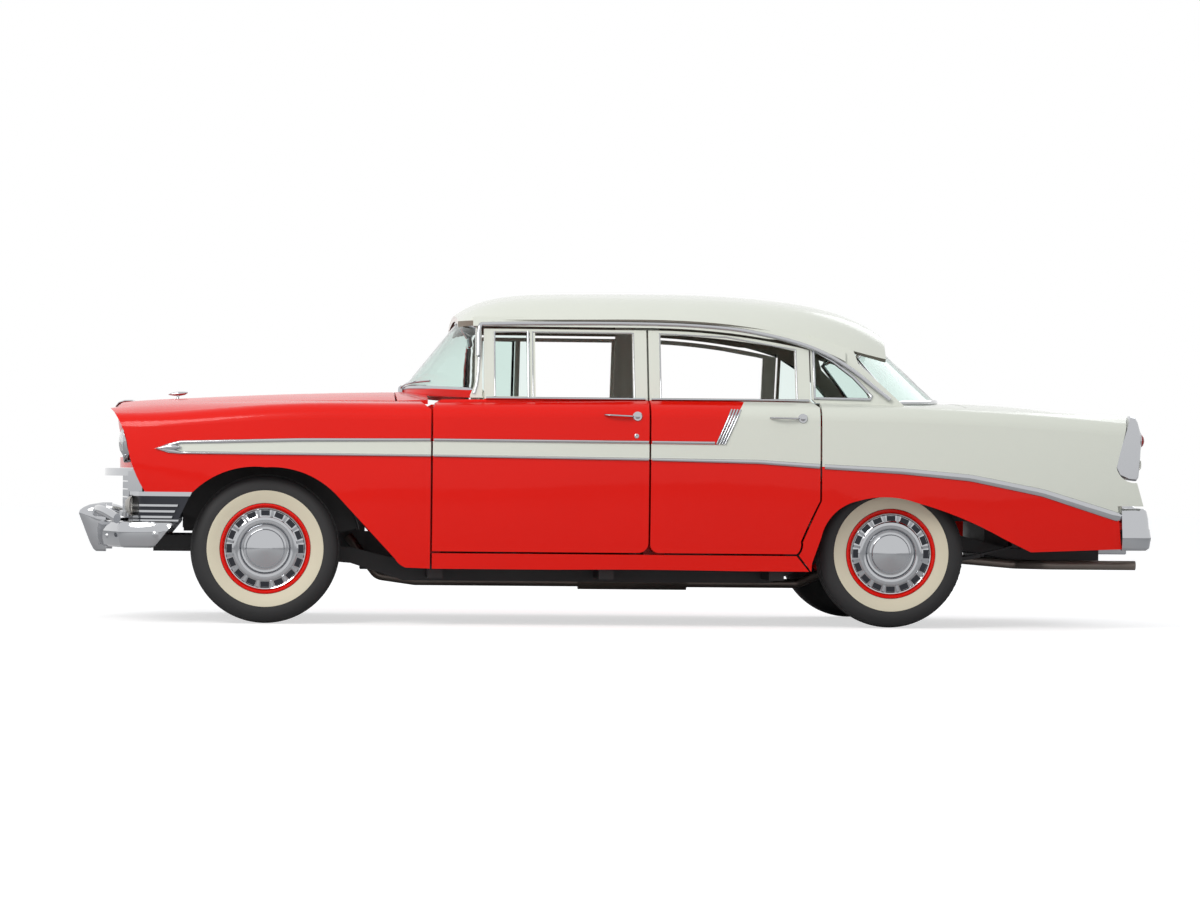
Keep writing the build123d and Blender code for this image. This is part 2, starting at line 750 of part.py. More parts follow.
def bumper_bar(centre_x, wing_x, half_width, section, direction, corner, wrap_x):
    """Curved bumper bar: a plan arc with ends that wrap round the corners."""
    depth, low, high = section
    y1 = half_width - 60
    s = direction

    def p(x, y):
        return x, y, low

    outer = [(wing_x, y1), (centre_x, 0), (wing_x, -y1)]
    inner_shift = -s * depth
    edges = [
        Edge.make_three_point_arc(*[p(*q) for q in outer]),
        Edge.make_three_point_arc(
            p(wing_x, -y1),
            p(wing_x - s * corner * 0.3, -half_width + 14),
            p(wing_x - s * corner, -half_width),
        ),
        Edge.make_line(p(wing_x - s * corner, -half_width), p(wrap_x, -half_width)),
        Edge.make_line(p(wrap_x, -half_width), p(wrap_x, -half_width + 16)),
        Edge.make_line(p(wrap_x, -half_width + 16), p(wing_x - s * corner, -half_width + depth)),
        Edge.make_three_point_arc(
            p(wing_x - s * corner, -half_width + depth),
            p(wing_x - s * corner / 2, -y1 + 26),
            p(wing_x + inner_shift, -y1 + 40),
        ),
        Edge.make_three_point_arc(
            p(wing_x + inner_shift, -y1 + 40), p(centre_x + inner_shift, 0), p(wing_x + inner_shift, y1 - 40)
        ),
        Edge.make_three_point_arc(
            p(wing_x + inner_shift, y1 - 40),
            p(wing_x - s * corner / 2, y1 - 26),
            p(wing_x - s * corner, half_width - depth),
        ),
        Edge.make_line(p(wing_x - s * corner, half_width - depth), p(wrap_x, half_width - 16)),
        Edge.make_line(p(wrap_x, half_width - 16), p(wrap_x, half_width)),
        Edge.make_line(p(wrap_x, half_width), p(wing_x - s * corner, half_width)),
        Edge.make_three_point_arc(
            p(wing_x - s * corner, half_width), p(wing_x - s * corner * 0.3, half_width - 14), p(wing_x, y1)
        ),
    ]
    return Solid.extrude(Face(Wire(edges)), (0, 0, high - low))


def bumper_irons(x_start, x_end, y, z):
    return both_sides(box((min(x_start, x_end), y - 12, z - 30), (max(x_start, x_end), y + 12, z + 30)))


def front_bumper():
    bar = bumper_bar(2478, 2330, 905, (46, 345, 470), 1, 130, 2064)
    guards = both_sides(bumper_guard())
    irons = bumper_irons(2180, 2420, FRAME_RAIL_Y, 380)
    slanted_end = outline((2000, 330), (2175, 330), (2060, 480), (2000, 480))
    return fused(bar, guards, irons).cut(prism(slanted_end, -1000, 1000))


def bumper_guard():
    face = outline(
        (2400, 330), (2470, 318), (2530, 480, 2520, 400), (2535, 505), (2500, 541), (2400, 548), (2400, 500)
    )
    return prism(face, 300, 380)


def rear_bumper():
    bar = bumper_bar(TAIL_X + 12, TAIL_X + 40, 905, (46, 372, 570), -1, 70, TAIL_X + 182)
    back = TAIL_X + 95
    low = [(back, 372), (TAIL_X + 35, 372), (TAIL_X, 430)]
    high = [(TAIL_X + 7, 575), (TAIL_X + 75, 590), (back, 500)]
    guards = both_sides(prism(outline(*low, *high), 330, 400))
    irons = bumper_irons(FRAME_TAIL_X, TAIL_X + 65, FRAME_RAIL_Y, 372)
    return fused(bar, guards, irons)


def grille_x(y):
    return 2345.0 - 60.0 * (y / GRILLE_HALF) ** 2


def bowed_band(middle, end, depth, low, high, half):
    """Bar across the nose that bows forward: x at mid-width and at its ends, then its depth."""

    def p(x, y):
        return x, y, low

    edges = [
        Edge.make_three_point_arc(p(end, half), p(middle, 0), p(end, -half)),
        Edge.make_line(p(end, -half), p(end - depth, -half)),
        Edge.make_three_point_arc(p(end - depth, -half), p(middle - depth, 0), p(end - depth, half)),
        Edge.make_line(p(end - depth, half), p(end, half)),
    ]
    return Solid.extrude(Face(Wire(edges)), (0, 0, high - low))


def nose_panel():
    """Painted panel between the hood and the grille's upper lip."""
    return bowed_band(2354, 2264, 22, GRILLE_LIP_TOP + 2, HOOD_NOSE_LOW[1] - LID_GAP, CAP_INNER_Y + 18)


def grille():
    """Egg-crate grille with its upper lip and lower bar."""
    low, high = GRILLE_Z
    x_end = grille_x(GRILLE_HALF)
    parts = [
        bowed_band(2427, x_end - 14, 76, high - 12, GRILLE_LIP_TOP, GRILLE_HALF + 8),
        bowed_band(grille_x(0) + 10, x_end + 10, 50, low - 16, low + 6, GRILLE_HALF + 8),
    ]
    rows = 5
    for i in range(1, rows):
        z = low + (high - low) * i / rows
        parts.append(bowed_band(grille_x(0) - 6, x_end - 6, 26, z - 3, z + 3, GRILLE_HALF))
    columns = 22
    for i in range(columns + 1):
        y = -GRILLE_HALF + 2 * GRILLE_HALF * i / columns
        x = grille_x(y)
        parts.append(box((x - 34, y - 3, low), (x - 6, y + 3, high)))
    for side in (1, -1):
        y = side * (GRILLE_HALF + 4)
        parts.append(box((grille_x(y) - 60, y - 8, low - 10), (grille_x(y) + 6, y + 8, high + 10)))
    return fused(parts)


def side_lamp():
    """Chrome parking-lamp housing that wraps from the grille round the corner."""
    p = [(2222, 840), (2222, 889), (1982, 905), (1982, 880), (2195, 866), (2195, 840)]
    wire = Wire.make_polygon([(x, y, 470) for x, y in p], close=True)
    wing = Solid.extrude(Face(wire), (0, 0, 140))
    slope = outline((2230, 460), (2230, SIDE_LAMP_TOP), (1986, SIDE_LAMP_TOP), (2050, 460))
    front = box((2195, GRILLE_HALF + 20, 480), (2290, 866, SIDE_LAMP_TOP))
    return fused(common(wing, prism(slope, 700, 1000)), front)


def tail_lamp():
    """Chrome tail-lamp housing with its lens on the end of the fin."""
    face = outline(
        (TAIL_X + 143, 1004),
        (TAIL_X + 110, 985, TAIL_X + 121, 1000),
        (TAIL_X + 95, 900),
        (TAIL_X + 99, 700),
        (TAIL_X + 111, 700),
        (TAIL_X + 205, 758, TAIL_X + 190, 722),
        (TAIL_X + 169, 900, TAIL_X + 190, 830),
        (TAIL_X + 145, 985),
    )
    body = prism(face, 762, 858)
    lens = Pos(TAIL_X + 95, 810, 890) * Rot(0, -90, 0) * Cylinder(38, 44)
    return fused(body, lens)


# Structure and floor
def chassis_frame():
    """Two side rails kicked up over the axles, joined by cross members."""
    low, high = FRAME_RAIL_Z
    rail_side = outline(
        (2180, low + 130),
        (2180, high + 110),
        (1900, high + 110),
        (1250, high + 60),
        (1000, high),
        (-740, high),
        (-1000, high + 115),
        (-1190, high + 122),
        (-1215, high + 205),
        (-1400, high + 205),
        (-1900, high + 80),
        (FRAME_TAIL_X, high + 80),
        (FRAME_TAIL_X, low + 100),
        (-1980, low + 110),
        (-1450, low + 205),
        (-1228, low + 205),
        (-1190, low + 150),
        (-1060, low + 135),
        (-740, low),
        (1000, low),
        (1250, low + 80),
        (1900, low + 130),
    )
    half_rail = FRAME_RAIL_WIDTH / 2
    rails = both_sides(prism(rail_side, FRAME_RAIL_Y - half_rail, FRAME_RAIL_Y + half_rail))
    half = FRAME_RAIL_Y
    crosses = [
        box((2100, -half, low + 150), (2170, half, high + 90)),
        box((1560, -half, low + 60), (1740, half, ENGINE_BOTTOM)),
        box((700, -half, low + 22), (780, half, GEARBOX_BOTTOM)),
        box((-640, -half, low + 40), (-560, half, high - 5)),
        box((-1760, -half, low + 150), (-1700, half, low + 200)),
        box((FRAME_TAIL_X + 20, -half, low + 110), (FRAME_TAIL_X + 80, half, low + 160)),
    ]
    arms = []
    for x in (860, 60, -740):
        arms += both_sides(box((x - 35, FRAME_RAIL_Y, low + 20), (x + 35, 760, FLOOR_Z)))
    return fused(rails, crosses, arms)


def floor_pan():
    """Cabin floor with its tunnel, the rear seat pan, raised trunk floor and the wheelhouses."""
    cabin = box((SEAT_PAN_X, -FLOOR_HALF, FLOOR_Z), (FIREWALL_X - 60, FLOOR_HALF, FLOOR_TOP))
    toe_x = FIREWALL_X - FIREWALL_HALF
    toe = outline((FIREWALL_X - 60, FLOOR_Z), (toe_x, 420), (toe_x, 450), (FIREWALL_X - 85, FLOOR_TOP))
    riser = box((SEAT_PAN_X, -600, FLOOR_Z), (SEAT_PAN_X + SHEET, 600, SEAT_PAN_Z + SHEET))
    seat_pan = box((TRUNK_STEP_X, -600, SEAT_PAN_Z), (SEAT_PAN_X, 600, SEAT_PAN_Z + SHEET))
    step = box((TRUNK_STEP_X, -600, SEAT_PAN_Z), (TRUNK_STEP_X + SHEET, 600, TRUNK_FLOOR_Z + SHEET))
    trunk = box((FRAME_TAIL_X + 10, -610, TRUNK_FLOOR_Z), (TRUNK_STEP_X, 610, TRUNK_FLOOR_Z + SHEET))
    back = box((TRUNK_WALL_X, -600, TRUNK_FLOOR_Z), (TRUNK_WALL_X + SHEET, 600, 1010))
    ring = outline((-1700, 500), (-840, 500), (-1280, 770, -960, 700), (-1700, 500, -1610, 690))
    hollow = outline((-1680, 480), (-860, 480), (-1280, 748, -980, 684), (-1680, 480, -1592, 672))
    shell = prism(ring, 600, 845).cut(prism(hollow, SHEET + 600, 900))
    toe_board = prism(toe, -FLOOR_HALF, FLOOR_HALF)
    shape = fused(cabin, toe_board, riser, seat_pan, step, trunk, back, both_sides(shell))
    for rear, front, half, top in TUNNEL:
        cover = box((rear, -half, FLOOR_Z), (front, half, top))
        room = box((rear - 5, -half + 14, FLOOR_Z - 5), (front + 80, half - 14, top - 14))
        shape = fused(shape, cover).cut(room)
    return shape


def firewall():
    """Bulkhead between engine and cabin, cowl top and the sides of the cowl."""
    wall = box((FIREWALL_X - FIREWALL_HALF, -690, 450), (FIREWALL_X + FIREWALL_HALF, 690, 1035))
    top = Solid.make_loft(
        [
            Wire(
                [
                    Edge.make_three_point_arc((x, -w, z - 52), (x, 0, z), (x, w, z - 52)),
                    Edge.make_line((x, w, z - 52), (x, w, z - 72)),
                    Edge.make_three_point_arc((x, w, z - 72), (x, 0, z - 20), (x, -w, z - 72)),
                    Edge.make_line((x, -w, z - 72), (x, -w, z - 52)),
                ]
            )
            for x, w, z in [
                (COWL_X - LID_GAP, edge_y(COWL_X) - LID_GAP, 1093),
                (900, edge_y(900) - LID_GAP, 1098),
            ]
        ],
        ruled=True,
    )
    sides = []
    for s in (1, -1):
        sides.append(box((905, s * 700 - 12, 450), (1045, s * 700 + 12, 1010)))
    posts = both_sides(box((905, 700, FLOOR_TOP + 1), (950, 860, 940)))
    lower_frame = glass_sheet(
        (WINDSHIELD_LOW[0] + 6, WINDSHIELD_LOW[1] - 36, WINDSHIELD_LOW[2], WINDSHIELD_LOW[3] - 36),
        (WINDSHIELD_LOW[0] + 6, WINDSHIELD_LOW[1] - 1, WINDSHIELD_LOW[2], WINDSHIELD_LOW[3] - 1),
        WINDSHIELD_HALF[0] + 20,
        WINDSHIELD_HALF[0] + 20,
        30,
    )
    lower_frame = lower_frame.cut(*both_sides(windshield_pillar()))
    return fused(wall, top, sides, posts, lower_frame)


def side_frames():
    """Rockers, hinge posts and middle posts of both sides."""
    rocker_shell = common(
        side_shell(0, SKIN),
        left_prism(outline((880, SILL_Z), (880, SILL_TOP), (-816, SILL_TOP), (-876, SILL_Z)))
    )
    sill = box((-815, FLOOR_HALF, SILL_Z + 12), (880, 884, SILL_TOP))
    front_post = box((838, POST_Y[0], SILL_TOP - 4), (888, POST_Y[1], 940))
    middle_post = box((-208, POST_Y[0], SILL_TOP - 4), (-108, POST_Y[1], 940))
    upper_post = common(
        lean_slab(FRAME_DEPTH + 12, FRAME_DEPTH + 42),
        left_prism(outline((-185, BELT_Z - 20), (-185, 1440), (-72, 1440), (-72, BELT_Z - 20)))
    )
    link = box((-208, UPPER_POST_Y[0], 925), (-108, UPPER_POST_Y[1], BELT_Z))
    rear_post = box((-975, POST_Y[0], 780), (-925, POST_Y[1], 940))
    one = fused(rocker_shell, sill, front_post, middle_post, upper_post, link)
    return [both_sides(one), both_sides(rear_post)]


def windshield_pillar():
    return common(
        lean_slab(0, 34),
        left_prism(outline((650, 1058), (650, 1430), (676, 1430), (684, 1120), (706, 1070), (706, 1058)))
    )


def pillars():
    """Windshield pillar and rear pillar of the left side."""
    rear_edge = REAR_GAP_X + 34 - DOOR_GAP / 2
    rear = common(
        lean_slab(0, 34),
        left_prism(
            outline(
                (rear_edge, 1066),
                (rear_edge, 1370),
                (-1100, 1300),
                (-1120, 1240),
                (-1340, 1030),
                (REAR_GAP_X - DOOR_GAP / 2, 1030),
            )
        )
    )
    glass_hole = left_prism(quarter_window_outline(0))
    return [windshield_pillar(), fused(rear).cut(glass_hole, side_block(500))]


def quarter_window_outline(inset):
    return outline(
        (-912 - inset, 1070 + inset),
        (-912 - inset, 1290 - inset),
        (-1150 + inset, 1110 + inset, -1060 + inset, 1206 - inset),
        (-1170 + inset, 1070 + inset),
    )


def quarter_window():
    return common(lean_slab(8, 8 + GLASS), left_prism(quarter_window_outline(0.5)))


def roof():
    shell = roof_shell()

    def rail_low(x):
        return rail_z(x) + 1

    rail = outline(
        (690, rail_low(690)),
        (690, 1440),
        (-150, 1446),
        (-560, 1428, -350, 1444),
        (-1060, 1290, -850, 1370),
        (-1060, 1246),
        (-700, rail_low(-700), -890, 1318),
        (-150, rail_low(-150), -425, rail_low(-425)),
    )
    rails = both_sides(common(lean_slab(-14, 30), left_prism(rail)))
    return fused(shell, rails)


def rear_shelf():
    """Panel between the rear window and the trunk lid, with the shelf behind the seat."""
    return Solid.make_loft(
        [
            Wire(
                [
                    Edge.make_three_point_arc((x, -w, z - drop), (x, 0, z), (x, w, z - drop)),
                    Edge.make_line((x, w, z - drop), (x, w, z - drop - 20)),
                    Edge.make_three_point_arc((x, w, z - drop - 20), (x, 0, z - 20), (x, -w, z - drop - 20)),
                    Edge.make_line((x, -w, z - drop - 20), (x, -w, z - drop)),
                ]
            )
            for x, w, z, drop in [(DECK_FRONT_X + LID_GAP, 752, 1062, 32), (-1300, 766, 1062, 24)]
        ],
        ruled=True,
    )


# Running gear
def tyre():
    """Tyre with its sidewalls and a flat tread, about the Y axis."""
    half = TYRE_WIDTH / 2
    profile = [
        (RIM_RADIUS - 6, -58),
        (RIM_RADIUS + 40, -half + 6),
        (TYRE_RADIUS - 66, -half),
        (TYRE_RADIUS - 22, -half + 16),
        (TYRE_RADIUS - 4, -half + 40),
        (TYRE_RADIUS, -20),
        (TYRE_RADIUS, 20),
        (TYRE_RADIUS - 4, half - 40),
        (TYRE_RADIUS - 22, half - 16),
        (TYRE_RADIUS - 66, half),
        (RIM_RADIUS + 40, half - 6),
        (RIM_RADIUS - 6, 58),
        (RIM_RADIUS - 16, 58),
        (RIM_RADIUS - 16, -58),
    ]
    return revolve_about_y(profile)


def revolve_about_y(profile):
    wire = Wire.make_polygon([(r, y, 0) for r, y in profile], close=True)
    return revolve(Face(wire), axis=Axis.Y)


def wheel(side):
    """Pressed steel wheel: rim, disc and brake drum. side is +1 where +Y faces out."""
    s = side
    rim = [
        (RIM_RADIUS - 17, -58),
        (RIM_RADIUS - 8, -66),
        (RIM_RADIUS - 2, -RIM_WIDTH / 2),
        (RIM_RADIUS - 10, -RIM_WIDTH / 2 - 2),
        (RIM_RADIUS - 24, -60),
        (RIM_RADIUS - 30, -30),
        (RIM_RADIUS - 30, 30),
        (RIM_RADIUS - 24, 60),
        (RIM_RADIUS - 10, RIM_WIDTH / 2 + 2),
        (RIM_RADIUS - 2, RIM_WIDTH / 2),
        (RIM_RADIUS - 8, 66),
        (RIM_RADIUS - 17, 58),
    ]
    disc = [(24, s * 8), (120, s * 8), (RIM_RADIUS - 26, s * 26)]
    disc += [(RIM_RADIUS - 26, s * 34), (116, s * 16), (24, s * 16)]
    drum = [
        (24, s * 7.9),
        (DRUM_RADIUS, s * 7.9),
        (DRUM_RADIUS, s * -44),
        (DRUM_RADIUS - 12, s * -44),
        (DRUM_RADIUS - 12, s * -4),
        (24, s * -4),
    ]
    return fused(revolve_about_y(rim), revolve_about_y(disc), revolve_about_y(drum))


def wheel_cover(side):
    """Full chrome cover: a raised cap, a dished ring and a rolled rim."""
    lip = 64.5
    front = [(0, 6), (58, 6), (74, -6), (96, -8), (120, 8), (COVER_RADIUS - 16, 12), (COVER_RADIUS, 7)]
    back = [(COVER_RADIUS, 0), (COVER_RADIUS - 6, 1), (COVER_RADIUS - 18, 6), (122, 2), (96, -14), (74, -12)]
    back += [(56, 0), (0, 0)]
    return revolve_about_y([(r, side * (lip + depth)) for r, depth in front + back])


def knuckle():
    """Left front steering knuckle: upright, spindle, backing plate and steering arm."""
    upright = rod((0, KINGPIN_Y, HUB_Z - 104), (0, KINGPIN_Y, HUB_Z + 104), 16)
    spindle = rod((0, KINGPIN_Y, HUB_Z), (0, FRONT_TRACK / 2 + 40, HUB_Z), SPINDLE_RADIUS)
    boss = rod((0, KINGPIN_Y - 16, HUB_Z), (0, KINGPIN_Y + 10, HUB_Z), 46)
    arm = fused(
        rod((0, KINGPIN_Y - 6, HUB_Z - 60), (-150, KINGPIN_Y - 44, HUB_Z - 70), 12),
        rod((-150, KINGPIN_Y - 44, HUB_Z - 92), (-150, KINGPIN_Y - 44, HUB_Z - 52), 14),
    )
    return Pos(FRONT_AXLE_X, 0, 0) * fused(upright, spindle, boss, arm)


def front_suspension():
    """Upper and lower control arms with the coil spring and the steering links."""
    arms = []
    for z, inner_y, spread in [(HUB_Z + 122, 420, 120), (HUB_Z - 122, 380, 170)]:
        half_plan = [(26, KINGPIN_Y + 8), (26, KINGPIN_Y - 40), (spread, inner_y), (spread - 40, inner_y)]
        plan = [*half_plan, (0, 560), *[(-x, y) for x, y in reversed(half_plan)]]
        wire = Wire.make_polygon([(x, y, z - 14) for x, y in plan], close=True)
        arms.append(Solid.extrude(Face(wire), (0, 0, 28)))
        arms.append(rod((-spread, inner_y + 8, z), (spread, inner_y + 8, z), 17))
    spring = rod((0, 470, HUB_Z - 120), (0, 470, HUB_Z + 160), 52)
    hanger = box((-90, 330, HUB_Z + 96), (90, 432, HUB_Z + 190))
    left = Pos(FRONT_AXLE_X, 0, 0) * fused(arms, spring, hanger)
    return both_sides(left)


def rear_axle():
    """Axle tube with its differential and the propeller shaft to the gearbox."""
    tube = rod((REAR_AXLE_X, -REAR_TRACK / 2 + 10, HUB_Z), (REAR_AXLE_X, REAR_TRACK / 2 - 10, HUB_Z), 38)
    differential = Pos(REAR_AXLE_X, 0, HUB_Z) * Sphere(112)
    nose = rod((REAR_AXLE_X, 0, HUB_Z), (REAR_AXLE_X + 250, 0, HUB_Z - 6), 52)
    shaft = rod((REAR_AXLE_X + 240, 0, HUB_Z - 6), (470, 0, HUB_Z - 10), 30)
    plates = both_sides(
        rod((REAR_AXLE_X, REAR_TRACK / 2 - 60, HUB_Z), (REAR_AXLE_X, REAR_TRACK / 2 - 50, HUB_Z), 120)
    )
    hub_y = REAR_TRACK / 2
    hub = rod((REAR_AXLE_X, hub_y - 20, HUB_Z), (REAR_AXLE_X, hub_y + 40, HUB_Z), SPINDLE_RADIUS)
    hubs = both_sides(hub)
    return fused(tube, differential, nose, shaft, plates, hubs)


def leaf_springs():
    """Three stacked leaves with eyes, clamped under the axle."""
    leaves = []
    for i, half in enumerate((640, 470, 300)):
        z = HUB_Z - 52 - 9 * i
        rise = 96 * (half / 640) ** 2
        leaf = outline(
            (REAR_AXLE_X + half, z + rise),
            (REAR_AXLE_X - half, z + rise, REAR_AXLE_X, z),
            (REAR_AXLE_X - half, z + rise - 9),
            (REAR_AXLE_X + half, z + rise - 9, REAR_AXLE_X, z - 9),
        )
        leaves.append(prism(leaf, SPRING_Y - 26, SPRING_Y + 26))
    eyes = []
    for x in (REAR_AXLE_X + 640, REAR_AXLE_X - 640):
        rail_side_y = FRAME_RAIL_Y + FRAME_RAIL_WIDTH / 2
        eyes.append(rod((x, rail_side_y, HUB_Z + 46), (x, SPRING_Y + 28, HUB_Z + 46), 20))
    clamp = box((REAR_AXLE_X - 50, SPRING_Y - 32, HUB_Z - 82), (REAR_AXLE_X + 50, SPRING_Y + 32, HUB_Z - 38))
    return both_sides(fused(leaves, eyes, clamp))


def exhaust():
    """Single exhaust from the engine to the tail, with its silencer."""
    points = [
        (1260, 212, 400),
        (1120, 250, 215),
        (940, 250, 190),
        (-900, 250, 190),
        (-1080, 440, 290),
        (-1180, 440, 385),
        (-1240, 440, 432),
        (-1340, 440, 432),
        (-1500, 440, 330),
        (-1920, 440, PIPE_Z),
        (-2060, PIPE_Y, PIPE_Z),
        (PIPE_END_X, PIPE_Y, PIPE_Z),
    ]
    line = FilletPolyline(*points, radius=PIPE_BEND)
    start = Plane(origin=line @ 0, z_dir=line % 0)
    pipe = sweep(start * Circle(PIPE_RADIUS), path=line)
    muffler = Pos(-100, 250, 215) * Rot(0, 90, 0) * Cylinder(60, 520)
    bore = rod((PIPE_END_X - 1, PIPE_Y, PIPE_Z), (PIPE_END_X + 120, PIPE_Y, PIPE_Z), PIPE_RADIUS - 3)
    return fused(pipe, muffler).cut(bore)


def engine():
    """Engine block and gearbox as one plain block."""
    return fused(
        box((1180, -190, ENGINE_BOTTOM), (1780, 190, 800)),
        box((490, -130, GEARBOX_BOTTOM), (1200, 130, 420)),
    )


def radiator():
    return fused(box((1960, -330, 420), (2040, 330, 940)), box((1968, -240, 940), (2032, 240, 975)))


def fuel_tank():
    return box((TAIL_X + 355, -330, 300), (-1790, 330, 512))


def seat(front_x, back_x, base_z, back_top, half):
    """Bench seat: cushion and backrest as two plain soft blocks on a low base."""
    cushion = outline(
        (front_x, base_z),
        (front_x, base_z + 150),
        (front_x - 40, base_z + 190, front_x - 12, base_z + 180),
        (back_x + 60, base_z + 160),
        (back_x + 60, base_z),
    )
    back = outline(
        (back_x + 60, base_z),
        (back_x + 60, base_z + 180),
        (back_x - 30, back_top - 30),
        (back_x - 90, back_top, back_x - 52, back_top),
        (back_x - 130, back_top - 30, back_x - 122, back_top - 6),
        (back_x - 60, base_z),
    )
    return [prism(cushion, -half, half), prism(back, -half, half)]


def front_seat():
    """Front bench on two runners."""
    base = TUNNEL[0][3] + 8
    runners = both_sides(box((-20, 500, FLOOR_TOP), (380, 540, base)))
    return fused(seat(420, -60, base, 960, 640), runners)


def dashboard():
    """Instrument panel from side to side, with its rolled upper edge."""
    side = [(880, 800), (835, 860), (850, 985, 822, 930), (890, 1014, 862, 1010), (960, 1014), (960, 800)]
    return prism(outline(*side), -684, 684)


def steering_wheel():
    place = Pos(*STEER_WHEEL) * Rot(0, -STEER_TILT, 0)
    ring = place * Torus(205, 11)
    hub = place * Cylinder(40, 44)
    spokes = [place * Rot(0, 0, a) * Pos(105, 0, 0) * Box(205, 22, 12) for a in (0, 120, 240)]
    column = place * Pos(0, 0, -170) * Cylinder(22, 330)
    return fused(ring, hub, spokes, column)


def inner_fenders():
    """Upright inner panels of the engine bay beside the steered wheels."""
    panel = outline(
        (2180, 470),
        (2180, 900),
        (1052, 930),
        (1052, 640),
        (1300, 620),
        (1400, 700),
        (1900, 700),
        (2000, 600),
    )
    return both_sides(fused(prism(panel, 448, 466), box((1200, 448, 880), (2180, 590, 900))))


def main():
    os.makedirs("parts", exist_ok=True)
    front_windows = [window_front(), window_vent()]
    doors = {
        "door_front": door(front_door_outline(), front_windows, FRONT_GAP_X - DOOR_GAP / 2),
        "door_rear": door(rear_door_outline(), [window_rear()], MIDDLE_GAP_X - DOOR_GAP / 2),
    }
    vent = fused(common(lean_slab(10, 10 + GLASS), left_prism(window_vent())))
    for name, shape in doors.items():
        for side, one in zip(("left", "right"), both_sides(shape)):
            save(f"{name}_{side}", one)
    for side, one in zip(("left", "right"), both_sides(vent)):
        save(f"vent_window_{side}", one)
    hinges = []
    for front_x in (FRONT_GAP_X, MIDDLE_GAP_X):
        for level in HINGE_LEVELS:
            hinges += both_sides(hinge_bracket(front_x - DOOR_GAP / 2 - HINGE_BACK, level))
    save("door_hinges", hinges)
    save("hood", hood())
    save("trunk_lid", trunk_lid())
    save("front_fenders", fused(both_sides(front_fender()), nose_panel()))
    save("rear_body", fused(both_sides(quarter()), *tail_panel(), rear_shelf()))
    save("side_frames", side_frames())
    save("roof", fused(roof(), [both_sides(p) for p in pillars()]))
    save("windshield", windshield())
    save("rear_window", rear_window())
    save("quarter_windows", both_sides(quarter_window()))
    save("firewall", firewall())
    save("floor_pan", floor_pan())
    save("chassis_frame", chassis_frame())
    save("inner_fenders", inner_fenders())
    save("grille", grille())
    save("parking_lamps", both_sides(side_lamp()))
    save("headlamps", both_sides(headlamp()))
    save("tail_lamps", both_sides(tail_lamp()))
    save("front_bumper", front_bumper())
    save("rear_bumper", rear_bumper())
    save("dashboard", dashboard())
    save("steering_wheel", steering_wheel())
    save("front_seat", front_seat())
    save("rear_seat", fused(seat(-560, -1080, SEAT_PAN_Z + SHEET, 1000, 590)))
    save("engine", engine())
    save("radiator", radiator())
    save("fuel_tank", fuel_tank())
    save("exhaust", exhaust())
    save("rear_axle", rear_axle())
    save("leaf_springs", leaf_springs())
    save("front_suspension", front_suspension())
    for side, one in zip(("left", "right"), both_sides(knuckle())):
        save(f"knuckle_{side}", one)
    for end, x, track in (("front", FRONT_AXLE_X, FRONT_TRACK), ("rear", REAR_AXLE_X, REAR_TRACK)):
        for side, s in (("left", 1), ("right", -1)):
            place = Pos(x, s * track / 2, HUB_Z)
            save(f"tyre_{end}_{side}", place * tyre())
            save(f"wheel_{end}_{side}", place * wheel(s))
            save(f"wheel_cover_{end}_{side}", place * wheel_cover(s))


main()
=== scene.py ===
# %% [markdown]
# A two-tone sedan of the 1950s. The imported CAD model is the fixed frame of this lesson: its panels
# already have their shapes, joints and places. One could model the whole car again in Blender, but then
# the doors would no longer fit their hinges, so Blender adds only what catches the eye, such as paint,
# chrome, tyres, lamps and seats. Every new piece rides on a CAD body and moves with its joint.

# %% Load the frame
import math

import bmesh
import bpy
from mathutils import Matrix, Vector
from mathutils.bvhtree import BVHTree


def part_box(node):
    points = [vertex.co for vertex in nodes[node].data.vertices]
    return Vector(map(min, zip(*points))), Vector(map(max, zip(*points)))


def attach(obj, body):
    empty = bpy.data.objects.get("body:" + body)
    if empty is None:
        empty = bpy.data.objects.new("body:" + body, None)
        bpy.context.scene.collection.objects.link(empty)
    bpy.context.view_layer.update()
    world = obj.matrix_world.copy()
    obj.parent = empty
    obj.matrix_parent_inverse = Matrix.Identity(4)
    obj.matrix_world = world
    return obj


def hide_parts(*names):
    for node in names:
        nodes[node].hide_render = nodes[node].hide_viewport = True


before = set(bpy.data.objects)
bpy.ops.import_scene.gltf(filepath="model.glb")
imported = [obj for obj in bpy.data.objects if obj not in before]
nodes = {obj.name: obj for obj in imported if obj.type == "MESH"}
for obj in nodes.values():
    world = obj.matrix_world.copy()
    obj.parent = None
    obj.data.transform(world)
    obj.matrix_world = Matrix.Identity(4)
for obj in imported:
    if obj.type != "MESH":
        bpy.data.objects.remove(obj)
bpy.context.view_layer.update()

# %% [markdown]
# The camera stands far off to the car's left with a long lens, a little below the door handles. Its
# place was worked out from the wheels and pillars. A helper that looks at a target would lose its slight
# roll, so the three axes are written out and put into the camera's matrix.

# %% Camera
EYE = Vector((1.509, 20.785, 0.71))
YAW, PITCH, ROLL = -0.0705, 0.00547, 0.0097
LENS = 128.85


def camera_axes():
    forward = Vector((math.sin(YAW) * math.cos(PITCH), -math.cos(YAW) * math.cos(PITCH), math.sin(PITCH)))
    right = forward.cross(Vector((0, 0, 1))).normalized()
    up = right.cross(forward)
    turned_right = right * math.cos(ROLL) + up * math.sin(ROLL)
    turned_up = -right * math.sin(ROLL) + up * math.cos(ROLL)
    return turned_right, turned_up, -forward


